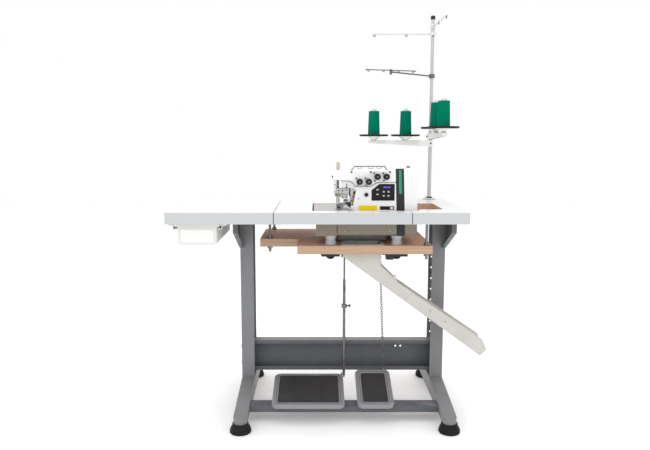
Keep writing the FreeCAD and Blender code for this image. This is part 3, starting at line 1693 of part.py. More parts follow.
def thread_guides():
    solids = []
    for x, rise in tension_places:
        z = head_low + rise
        post = along_y(head_front, head_front - post_length, x, z, post_radius)
        discs = []
        for i in range(2):
            face = head_front - disc_offset - i * (disc_thickness + disc_gap)
            discs.append(along_y(face, face - disc_thickness, x, z, disc_radius))
        solids.append(fused(post, *discs))
        for dx, dz in guide_pin_offsets:
            pin = along_y(head_front, head_front - guide_pin_length, x + dx, z + dz, guide_pin_radius)
            head = Part.makeSphere(guide_pin_head, Vector(x + dx, head_front - guide_pin_length, z + dz))
            solids.append(fused(pin, head))
    solids.append(guide_bar())
    return solids


def guide_bar():
    high = head_top + guide_bar_rise
    x0, x1, x2, x3 = guide_bar_x
    points = [Vector(x, guide_bar_y, z) for x, z in ((x0, head_top), (x1, high), (x2, high), (x3, head_top))]
    pieces = [between(points[i], points[i + 1], guide_bar_radius) for i in range(3)]
    pieces += [Part.makeSphere(guide_bar_radius, point) for point in points[1:3]]
    feet_under = span(x0 - guide_bar_bend, x3 + guide_bar_bend, guide_bar_y - guide_bar_bend, guide_bar_y + guide_bar_bend,
                      head_top - guide_bar_bend, head_top)
    pads = [along_z(head_top, head_top + guide_bar_radius, x, guide_bar_y, 2 * guide_bar_radius) for x in (x0, x3)]
    return fused(pieces[0], *(pieces[1:] + pads)).cut(feet_under)


def tension_knob(index):
    x, rise = tension_places[index]
    r = knob_radius
    profile = [(post_radius + running_clearance, 0), (r * 0.72, 0), (r * 0.72, knob_length * 0.25),
               (r, knob_length * 0.4), (r, knob_length * 0.9), (r * 0.88, knob_length),
               (post_radius + running_clearance, knob_length)]
    base = Vector(x, head_front - knob_offset, head_low + rise)
    knob = turned(profile, base, Vector(0, -1, 0))
    grooves = []
    for i in range(knob_ribs):
        turn = 2 * math.pi * i / knob_ribs
        groove_x = x + r * math.cos(turn)
        groove_z = head_low + rise + r * math.sin(turn)
        grooves.append(along_y(base.y - knob_length * 0.35, base.y - knob_length - cut_margin, groove_x, groove_z,
                               knob_rib_radius))
    return [cut_all(knob, grooves)]


# Thread stand


def stand_pole():
    low = table_under - pole_tail
    joint = table_height + pole_joint
    top = table_height + pole_height
    bore = along_z(low - cut_margin, joint + cut_margin, pole_x, pole_y, pole_bore)
    bite = joint - pole_bite
    lower = along_z(low, joint, pole_x, pole_y, pole_radius).cut(bore)
    plug_radius = pole_bore - running_clearance
    upper = fused(along_z(joint, top, pole_x, pole_y, pole_top_radius), along_z(bite, joint, pole_x, pole_y, plug_radius))
    f = flange_radius
    h = flange_height
    sleeve = pole_radius + running_clearance
    flange = turned([(sleeve, 0), (f, 0), (f, h * 0.4), (f * 0.55, h), (sleeve, h)],
                    Vector(pole_x, pole_y, table_height), Vector(0, 0, 1))
    nut = hexagon(pole_nut_flats, Vector(pole_x, pole_y, table_under - pole_nut_height), Vector(0, 0, 1),
                  pole_nut_height, sleeve)
    cap = turned([(0, cap_height * 0.3), (pole_top_radius, cap_height * 0.3), (pole_top_radius, 0), (cap_radius, 0),
                  (cap_radius, cap_height * 0.8), (cap_radius * 0.7, cap_height), (0, cap_height)],
                 Vector(pole_x, pole_y, top - cap_height * 0.3), Vector(0, 0, 1))
    return [lower, upper, flange, nut, cap]


def arm_frames():
    # Rise above the table, reach and heading of the left spool arm and the front spool arm.
    return [
        (left_arm_rise, left_arm_reach, 180.0),
        (front_arm_rise, front_arm_reach, -90.0 + front_arm_turn),
    ]


def set_on_pole(shape, rise, heading):
    # Pieces of an arm are drawn along +X from the pole's axis, then swung and lifted into place.
    shape.Placement = Placement(Vector(pole_x, pole_y, table_height + rise), Rotation(Vector(0, 0, 1), heading))
    return shape


def pole_radius_at(rise):
    return pole_radius if rise < pole_joint else pole_top_radius


def spool_arm(rise, reach, heading, bore):
    # Channel arm, open below, that tapers from its clamp to its tip and carries a seat and pin per cone.
    low = spool_root_height - spool_tip_height
    outline = [(0, 0), (spool_clamp_radius, 0), (reach, low), (reach, spool_root_height), (0, spool_root_height)]
    half = spool_arm_width / 2
    outer = front_prism(outline, -half, half)
    hollow = span(2 * spool_clamp_radius, reach - spool_arm_wall, -half + spool_arm_wall, half - spool_arm_wall,
                  -cut_margin, spool_root_height - spool_arm_wall)
    clamp = along_z(0, spool_root_height, 0, 0, spool_clamp_radius)
    seats = []
    for place in spool_places:
        seat = Part.makeCone(seat_low_radius, seat_high_radius, seat_height, Vector(place, 0, spool_root_height))
        seats += [seat, along_z(spool_root_height, spool_root_height + seat_height + spool_pin_height, place, 0,
                                spool_pin_radius)]
    hole = along_z(-cut_margin, spool_root_height + cut_margin, 0, 0, bore)
    arm = fused(outer.cut(hollow), clamp, *seats).cut(hole)
    return set_on_pole(arm, rise, heading)


def spool_arms():
    left, front = arm_frames()
    return [spool_arm(*left, pole_radius + running_clearance),
            spool_arm(*front, collar_radius + running_clearance)] + [pole_collar()]


def pole_collar():
    # Coupling sleeve over the joint of the two pole tubes, under the front spool arm's clamp.
    rise = front_arm_rise
    height = spool_root_height
    outer = along_z(0, height, 0, 0, collar_radius)
    lower = along_z(-cut_margin, pole_joint - rise, 0, 0, pole_radius + running_clearance)
    upper = along_z(pole_joint - rise, height + cut_margin, 0, 0, pole_top_radius + running_clearance)
    return set_on_pole(outer.cut(lower).cut(upper), rise, 0)


def spool_dishes():
    solids = []
    hole = spool_pin_radius + loose_clearance
    r = dish_radius
    t = dish_thickness
    profile = [(hole, 0), (r - dish_lip, 0), (r, dish_lip), (r, dish_lip + t / 2), (r - t / 2, dish_lip + t / 2),
               (r - dish_lip - t / 2, t), (hole, t)]
    for rise, reach, heading in arm_frames():
        for place in spool_places:
            dish = turned(profile, Vector(place, 0, spool_root_height + seat_height), Vector(0, 0, 1))
            solids.append(set_on_pole(Part.makeCompound([dish]), rise, heading))
    return solids


def thread_cones():
    # A cone of thread wound on a tapered core that stands on its dish.
    solids = []
    h = cone_height
    top = h + core_rise
    core = [(core_low_radius - core_wall, 0), (core_low_radius, 0), (core_high_radius, top),
            (core_high_radius - core_wall, top)]
    taper = (core_low_radius - core_high_radius) / top
    low = core_rise / 3
    wound = [(core_low_radius - taper * low, low), (cone_low_radius - 2, low), (cone_low_radius, low + 2),
             (cone_high_radius, h - 2), (cone_high_radius - 2, h), (core_low_radius - taper * h, h)]
    base = spool_root_height + seat_height + dish_thickness
    for rise, reach, heading in arm_frames():
        for place in spool_places:
            for profile in (wound, core):
                piece = turned(profile, Vector(place, 0, base), Vector(0, 0, 1))
                solids.append(set_on_pole(Part.makeCompound([piece]), rise, heading))
    return solids


def guide_arm(rise, reach, heading):
    # Flat bar with a clamp on the pole and hanging thread eyes.
    half = guide_width / 2
    bar = span(0, reach, -half, half, guide_clamp_height / 2 - guide_thickness / 2,
               guide_clamp_height / 2 + guide_thickness / 2)
    clamp = along_z(0, guide_clamp_height, 0, 0, guide_clamp_radius)
    hole = along_z(-cut_margin, guide_clamp_height + cut_margin, 0, 0, pole_top_radius + running_clearance)
    eyes = []
    for place in guide_eyes:
        drop = guide_clamp_height / 2 - guide_thickness / 2 - eye_ring_radius + eye_wire / 2
        eyes.append(Part.makeTorus(eye_ring_radius, eye_wire, Vector(place, 0, drop), Vector(0, 1, 0)))
    return set_on_pole(fused(bar, clamp, *eyes).cut(hole), rise, heading)


def mid_guide():
    level = table_height + mid_guide_rise
    middle = level + guide_clamp_height / 2
    pole = Vector(pole_x, pole_y, middle)
    end = Vector(mid_arm_end[0], mid_arm_end[1], middle)
    arm = between(pole, end, mid_arm_radius)
    clamp = along_z(level, level + guide_clamp_height, pole_x, pole_y, guide_clamp_radius)
    hole = along_z(level - cut_margin, level + guide_clamp_height + cut_margin, pole_x, pole_y,
                   pole_top_radius + running_clearance)
    wire_level = middle + mid_wire_step
    ends = [Vector(x, y, wire_level) for x, y in mid_wire_ends]
    wire = between(ends[0], ends[1], mid_wire_radius)
    screw = along_z(middle - mid_screw_length / 2, middle + mid_screw_length / 2, end.x, end.y, mid_screw_radius)
    way = (ends[1] - ends[0]).normalize()
    across = Vector(0, 0, 1).cross(way)
    eyes = []
    for share in (0.06, 0.35, 0.65, 0.94):
        centre = ends[0] + (ends[1] - ends[0]) * share - Vector(0, 0, eye_ring_radius)
        eyes.append(Part.makeTorus(eye_ring_radius, eye_wire, centre, across))
    return fused(arm, clamp, screw, wire, *eyes).cut(hole)


def pole_guides():
    return [guide_arm(left_guide_rise, left_guide_reach, 180.0),
            guide_arm(front_guide_rise, front_guide_reach, -90.0 + front_arm_turn),
            mid_guide()]


def nodes():
    made = {
        "feet": feet(),
        "rubber_feet": rubber_feet(),
        "columns": columns(),
        "table_arms": table_arms(),
        "rear_beam": rear_beam(),
        "treadle_bar": treadle_bar(),
        "stand_bolts": stand_bolts(),
        "speed_treadle": speed_treadle(),
        "speed_treadle_mat": speed_treadle_mat(),
        "lift_treadle": lift_treadle(),
        "lift_treadle_mat": lift_treadle_mat(),
        "pitman_rod": pitman_rod(),
        "speed_unit": speed_unit(),
        "speed_lever": speed_lever(),
        "lift_chain": lift_chain(),
        "lift_lever": lift_lever(),
        "table_top": table_top(),
        "lift_out_panel": lift_out_panel(),
        "panel_rests": panel_rests(),
        "work_board": work_board(),
        "hanger_rods": hanger_rods(),
        "drawer": drawer(),
        "drawer_runners": drawer_runners(),
        "waste_chute": chute(),
        "head_cushions": head_cushions(),
        "under_board_plates": under_board_plates(),
        "oil_pan": oil_pan(),
        "head_casting": head_casting(),
        "upper_cover": upper_cover(),
        "front_cover": front_cover(),
        "cover_knob": cover_knob(),
        "motor_cover": motor_cover(),
        "trim_band": trim_band(),
        "green_insert": green_insert(),
        "control_panel": control_panel(),
        "cloth_plate": cloth_plate(),
        "needle_plate": needle_plate(),
        "needle_bar": needle_bar(),
        "presser_foot": presser_foot(),
        "pressure_screw": pressure_screw(),
        "loopers_and_knives": loopers_and_knives(),
        "main_shaft": main_shaft(),
        "motor_stator": motor_stator(),
        "hand_wheel": hand_wheel(),
        "thread_guides": thread_guides(),
        "stand_pole": stand_pole(),
        "spool_arms": spool_arms(),
        "spool_dishes": spool_dishes(),
        "thread_cones": thread_cones(),
        "pole_guides": pole_guides(),
    }
    for i in range(len(key_places)):
        made["key_%d" % (i + 1)] = key(i)
    for i in range(len(tension_places)):
        made["tension_knob_%d" % (i + 1)] = tension_knob(i)
    return {name: Part.makeCompound(solids) for name, solids in made.items()}


def origin_shift(made):
    # From the middle of the table to the middle of the floor area that the machine covers.
    whole = FreeCAD.BoundBox()
    for shape in made.values():
        whole.add(shape.BoundBox)
    return Vector(-whole.Center.x, -whole.Center.y, -whole.ZMin)


def main():
    os.makedirs("parts", exist_ok=True)
    made = nodes()
    shift = origin_shift(made)
    for name, shape in made.items():
        shape.translate(shift)
        shape.exportStep("parts/%s.step" % name)
    print(len(made), "nodes, table middle at", round(shift.x, 3), round(shift.y, 3))


if __name__ == "__main__":
    main()
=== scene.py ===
import math
import random
import bmesh
import bpy
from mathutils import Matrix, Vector


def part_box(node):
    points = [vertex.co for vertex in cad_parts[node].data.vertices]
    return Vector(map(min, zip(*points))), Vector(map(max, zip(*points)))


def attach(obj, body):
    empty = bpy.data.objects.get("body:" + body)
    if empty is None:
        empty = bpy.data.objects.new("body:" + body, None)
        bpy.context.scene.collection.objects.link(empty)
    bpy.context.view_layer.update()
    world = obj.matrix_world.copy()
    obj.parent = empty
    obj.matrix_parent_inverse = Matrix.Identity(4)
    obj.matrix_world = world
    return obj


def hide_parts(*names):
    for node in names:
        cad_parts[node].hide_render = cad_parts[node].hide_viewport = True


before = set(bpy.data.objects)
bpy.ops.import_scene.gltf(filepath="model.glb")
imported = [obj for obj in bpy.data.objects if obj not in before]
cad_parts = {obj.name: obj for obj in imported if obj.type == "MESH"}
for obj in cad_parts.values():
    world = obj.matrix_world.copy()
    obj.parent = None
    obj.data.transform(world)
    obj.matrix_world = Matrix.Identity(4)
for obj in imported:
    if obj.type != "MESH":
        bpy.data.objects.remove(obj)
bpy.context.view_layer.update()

tableLow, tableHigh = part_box("table_top")
tableMiddle = Vector(((tableLow[0] + tableHigh[0]) / 2, (tableLow[1] + tableHigh[1]) / 2, 0))
tableLevel = 780
fullTurn = 2 * math.pi
tiny = 1e-6


def place(x, y, z):
    # drawing millimetres from the table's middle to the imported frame
    return tableMiddle + Vector((x, y, z)) / 1000


def inMetres(points):
    return [tuple(v / 1000 for v in point) for point in points]


def armSpot(pole, heading, reach, rise):
    # a place along an arm of the thread stand
    turn = math.radians(heading)
    return pole[0] + reach * math.cos(turn), pole[1] + reach * math.sin(turn), tableLevel + rise


print("frame loaded, table middle at", tuple(round(v, 4) for v in tableMiddle))

# Camera and studio
cameraLook = {"at": (2.64, -2466.44, 1034), "tilt": 0.134, "lens": 35.54, "sensor": 36, "shift": 0.0107}
# each light is its name, place, size and power
studioLook = {
    "world": (1, 1, 1), "worldStrength": 1, "aim": (60, 0, 700),
    "lights": (("keyLight", (-1500, -2600, 2700), 1.9, 16), ("fillLight", (2100, -2200, 1500), 2, 5),
               ("topLight", (100, 200, 3300), 2.6, 26)),
}


def aimLight(name, at, size, power):
    data = bpy.data.lights.new(name, "AREA")
    data.size = size
    data.energy = power
    lamp = bpy.data.objects.new(name, data)
    lamp.location = place(*at)
    lamp.rotation_euler = (place(*studioLook["aim"]) - lamp.location).to_track_quat("-Z", "Y").to_euler()
    bpy.context.collection.objects.link(lamp)


def buildStudio():
    scene = bpy.context.scene
    data = bpy.data.cameras.new("photoCamera")
    data.sensor_width = cameraLook["sensor"]
    data.lens = cameraLook["lens"]
    data.shift_x = cameraLook["shift"]
    camera = bpy.data.objects.new("photoCamera", data)
    camera.location = place(*cameraLook["at"])
    camera.rotation_euler = (math.pi / 2 - cameraLook["tilt"], 0, 0)
    bpy.context.collection.objects.link(camera)
    scene.camera = camera
    scene.view_settings.view_transform = "Standard"
    world = bpy.data.worlds.new("studioWorld")
    scene.world = world
    world.use_nodes = True
    back = world.node_tree.nodes["Background"]
    back.inputs["Color"].default_value = (*studioLook["world"], 1)
    back.inputs["Strength"].default_value = studioLook["worldStrength"]
    for light in studioLook["lights"]:
        aimLight(*light)


buildStudio()
print("camera and lights set")


# Shader nodes
def feed(value, socket):
    # a socket is linked, a number or colour is set
    if isinstance(value, bpy.types.NodeSocket):
        socket.id_data.links.new(value, socket)
    else:
        socket.default_value = value


def feedAll(node, values):
    for label, value in values.items():
        feed(value, node.inputs[label])


def addMath(kind, first, second=0):
    # like the helpers below, it adds its node to the tree of the socket it is given
    source = first if isinstance(first, bpy.types.NodeSocket) else second
    node = source.id_data.nodes.new("ShaderNodeMath")
    node.operation = kind
    feed(first, node.inputs[0])
    feed(second, node.inputs[1])
    return node.outputs[0]


def product(first, *others):
    for value in others:
        first = addMath("MULTIPLY", first, value)
    return first


def addRange(value, span, reach=(0, 1)):
    node = value.id_data.nodes.new("ShaderNodeMapRange")
    feed(value, node.inputs["Value"])
    feedAll(node, {"From Min": span[0], "From Max": span[1], "To Min": reach[0], "To Max": reach[1]})
    return node.outputs["Result"]


def objectCoords(tree):
    return tree.nodes.new("ShaderNodeTexCoord").outputs["Object"]


def faceNormal(tree):
    return tree.nodes.new("ShaderNodeNewGeometry").outputs["Normal"]


def splitAxes(vector):
    node = vector.id_data.nodes.new("ShaderNodeSeparateXYZ")
    feed(vector, node.inputs["Vector"])
    return node.outputs


def addNoise(tree, scale, detail, rough, vector=None):
    node = tree.nodes.new("ShaderNodeTexNoise")
    feedAll(node, {"Scale": scale, "Detail": detail, "Roughness": rough,
                   "Vector": vector or objectCoords(tree)})
    return node.outputs["Fac"]


def stretched(tree, scale):
    mapping = tree.nodes.new("ShaderNodeMapping")
    feedAll(mapping, {"Scale": scale, "Vector": objectCoords(tree)})
    return mapping.outputs["Vector"]


def newGroup(name, inputs, outputs):
    tree = bpy.data.node_groups.new(name, "ShaderNodeTree")
    for label, value in inputs.items():
        socket = tree.interface.new_socket(name=label, in_out="INPUT", socket_type="NodeSocketFloat")
        socket.default_value = value
    for label in outputs:
        kind = "NodeSocketVector" if "Normal" in label else "NodeSocketFloat"
        tree.interface.new_socket(name=label, in_out="OUTPUT", socket_type=kind)
    given, out = tree.nodes.new("NodeGroupInput"), tree.nodes.new("NodeGroupOutput")
    return tree, given.outputs, out.inputs


# noise is (scale, detail, roughness), or the last two where an input gives the scale
groupLook = {
    "tone": {"noise": (4, 0.55), "span": (0.32, 0.68)},
    "edge": {"samples": 4, "span": (0.995, 0.86), "noise": (60, 5, 0.6), "patch": (0.42, 0.62)},
    "grain": {"noise": (3, 0.5)},
    "dust": {"span": (0.3, 1), "noise": (24, 6, 0.65), "patch": (0.40, 0.70)},
    "brush": {"stretch": (1400, 40, 1400), "noise": (1, 4, 0.6), "span": (0.3, 0.7)},
    "wood": {"stretch": (5, 120, 170), "noise": (1, 5, 0.62), "poreStretch": (30, 900, 900),
             "poreNoise": (1, 2, 0.5), "shares": (0.75, 0.25), "span": (0.34, 0.66)},
    "cavity": {"samples": 4, "span": (0.85, 0.45), "noise": (45, 4, 0.6), "patch": (0.3, 0.6),
               "least": 0.35},
}


def buildTone(look):
    tree, given, out = newGroup("mottledTone", {"Scale": 12, "Low": 0, "High": 1}, ["Tone"])
    noise = addNoise(tree, given["Scale"], *look["noise"])
    feed(addRange(noise, look["span"], (given["Low"], given["High"])), out["Tone"])
    return tree


def buildEdge(look):
    tree, given, out = newGroup("edgeWear", {"Radius": 0.002, "Amount": 0.5}, ["Mask", "Round Normal"])
    bevel = tree.nodes.new("ShaderNodeBevel")
    bevel.samples = look["samples"]
    feed(given["Radius"], bevel.inputs["Radius"])
    dot = tree.nodes.new("ShaderNodeVectorMath")
    dot.operation = "DOT_PRODUCT"
    feed(bevel.outputs["Normal"], dot.inputs[0])
    feed(faceNormal(tree), dot.inputs[1])
    bent = addRange(dot.outputs["Value"], look["span"])
    worn = addRange(addNoise(tree, *look["noise"]), look["patch"])
    feed(product(bent, worn, given["Amount"]), out["Mask"])
    feed(bevel.outputs["Normal"], out["Round Normal"])
    return tree


def buildGrain(look):
    tree, given, out = newGroup("fineGrain", {"Scale": 900}, ["Height"])
    feed(addNoise(tree, given["Scale"], *look["noise"]), out["Height"])
    return tree


def buildDust(look):
    tree, given, out = newGroup("settledDust", {"Amount": 0.2}, ["Mask"])
    up = addRange(splitAxes(faceNormal(tree))["Z"], look["span"])
    patch = addRange(addNoise(tree, *look["noise"]), look["patch"])
    feed(product(up, patch, given["Amount"]), out["Mask"])
    return tree


def buildBrush(look):
    tree, given, out = newGroup("brushLines", {"Strength": 1}, ["Tone", "Height"])
    lines = addNoise(tree, *look["noise"], stretched(tree, look["stretch"]))
    feed(product(lines, given["Strength"]), out["Height"])
    feed(addRange(lines, look["span"]), out["Tone"])
    return tree


def buildWood(look):
    tree, given, out = newGroup("woodFigure", {"Scale": 1}, ["Tone", "Height"])
    grow = tree.nodes.new("ShaderNodeVectorMath")
    grow.operation = "SCALE"
    feed(stretched(tree, look["stretch"]), grow.inputs[0])
    feed(given["Scale"], grow.inputs["Scale"])
    rings = addNoise(tree, *look["noise"], grow.outputs["Vector"])
    pores = addNoise(tree, *look["poreNoise"], stretched(tree, look["poreStretch"]))
    ringShare, poreShare = look["shares"]
    tone = addMath("ADD", product(rings, ringShare), product(pores, poreShare))
    feed(addRange(tone, look["span"]), out["Tone"])
    feed(pores, out["Height"])
    return tree


def buildCavity(look):
    # painted shade with grime in the inner corners of one piece, darker where its own faces close in
    tree, given, out = newGroup("cornerShadeAndGrime", {"Reach": 0.006, "Amount": 0.3}, ["Mask"])
    shade = tree.nodes.new("ShaderNodeAmbientOcclusion")
    shade.samples = look["samples"]
    shade.only_local = True
    feed(given["Reach"], shade.inputs["Distance"])
    deep = addRange(shade.outputs["AO"], look["span"])
    patch = addRange(addNoise(tree, *look["noise"]), look["patch"], (look["least"], 1))
    feed(product(deep, patch, given["Amount"]), out["Mask"])
    return tree


groupMakers = {"tone": buildTone, "edge": buildEdge, "grain": buildGrain, "dust": buildDust,
               "brush": buildBrush, "wood": buildWood, "cavity": buildCavity}
groups = {key: make(groupLook[key]) for key, make in groupMakers.items()}
print("shader groups built:", len(groups))


# Finishes
def useGroup(tree, key, **values):
    node = tree.nodes.new("ShaderNodeGroup")
    node.node_tree = groups[key]
    feedAll(node, values)
    return node.outputs


def mixColour(mask, first, second):
    node = mask.id_data.nodes.new("ShaderNodeMix")
    node.data_type = "RGBA"
    for socket, value in ((node.inputs[6], first), (node.inputs[7], second)):
        feed((*value, 1) if isinstance(value, tuple) else value, socket)
    feed(mask, node.inputs[0])
    return node.outputs[2]


def startMaterial(name):
    material = bpy.data.materials.new(name)
    material.use_nodes = True
    tree = material.node_tree
    return material, tree, tree.nodes["Principled BSDF"]


# what a finish has where it names nothing else
surfaceLook = {
    "toneScale": 9, "edgeRadius": 0.0015, "wear": 0.25, "wearColour": (0.5, 0.5, 0.5), "shadeAndGrimeReach": 0.006,
    "shadeAndGrime": 0.3, "shadeAndGrimeColour": (0.05, 0.048, 0.045), "dust": 0.08, "dustColour": (0.62, 0.60, 0.57),
    "rough": (0.4, 0.55), "roughScale": 35, "metal": 0, "coat": 0, "specular": 0.5,
    "grain": 900, "bump": 0.15, "bumpDepth": 0.0003,
}


def finishSurface(tree, shader, look, colour, height=None):
    # edge wear, painted shade with grime in inner corners, dust, roughness and bump that every finish shares
    look = {**surfaceLook, **look}
    edge = useGroup(tree, "edge", Radius=look["edgeRadius"], Amount=look["wear"])
    colour = mixColour(edge["Mask"], colour, look["wearColour"])
    # painted shade in inner corners, mixed with a patchy grime colour
    shadeAndGrime = useGroup(tree, "cavity", Reach=look["shadeAndGrimeReach"], Amount=look["shadeAndGrime"])
    colour = mixColour(shadeAndGrime["Mask"], colour, look["shadeAndGrimeColour"])
    dust = useGroup(tree, "dust", Amount=look["dust"])
    colour = mixColour(dust["Mask"], colour, look["dustColour"])
    low, high = look["rough"]
    rough = useGroup(tree, "tone", Scale=look["roughScale"], Low=low, High=high)
    height = height or useGroup(tree, "grain", Scale=look["grain"])["Height"]
    bump = tree.nodes.new("ShaderNodeBump")
    feedAll(bump, {"Strength": look["bump"], "Distance": look["bumpDepth"], "Height": height,
                   "Normal": edge["Round Normal"]})
    feedAll(shader, {"Base Color": colour, "Roughness": rough["Tone"], "Metallic": look["metal"],
                     "Coat Weight": look["coat"], "Specular IOR Level": look["specular"],
                     "Normal": bump.outputs["Normal"]})


# the streaked edge of the painted shade below a level, and the axis and softness of a second colour past a
# level
maskLook = {"streak": (60, 60, 8), "streakNoise": (1, 4, 0.6), "streakDepth": 0.012,
            "shadeBelowSpan": (-0.006, 0.012), "sides": (("behind", "Y", 0.0006), ("above", "Z", 0.0004))}


def makeFinish(name, look):
    material, tree, shader = startMaterial(name)
    look = {**surfaceLook, **look}
    brushed = "brushed" in look
    pattern = useGroup(tree, "brush") if brushed else useGroup(tree, "tone", Scale=look["toneScale"])
    colour = mixColour(pattern["Tone"], look["base"], look["second"])
    # painted shade: below the level the colour turns warm grey-brown, the shade under the table
    if "shadeBelow" in look:
        streak = addNoise(tree, *maskLook["streakNoise"], stretched(tree, maskLook["streak"]))
        height = splitAxes(objectCoords(tree))["Z"]
        level = addMath("ADD", height, product(streak, maskLook["streakDepth"]))
        low = addRange(level, [look["shadeBelow"] + v for v in maskLook["shadeBelowSpan"]], (1, 0))
        colour = mixColour(low, colour, look["shadeBelowColour"])
    for side, axis, soft in maskLook["sides"]:
        if side in look:
            spot = splitAxes(objectCoords(tree))[axis]
            past = addRange(spot, (look[side], look[side] + soft))
            colour = mixColour(past, colour, look[side + "Colour"])
    finishSurface(tree, shader, look, colour, pattern["Height"] if brushed else None)
    return material
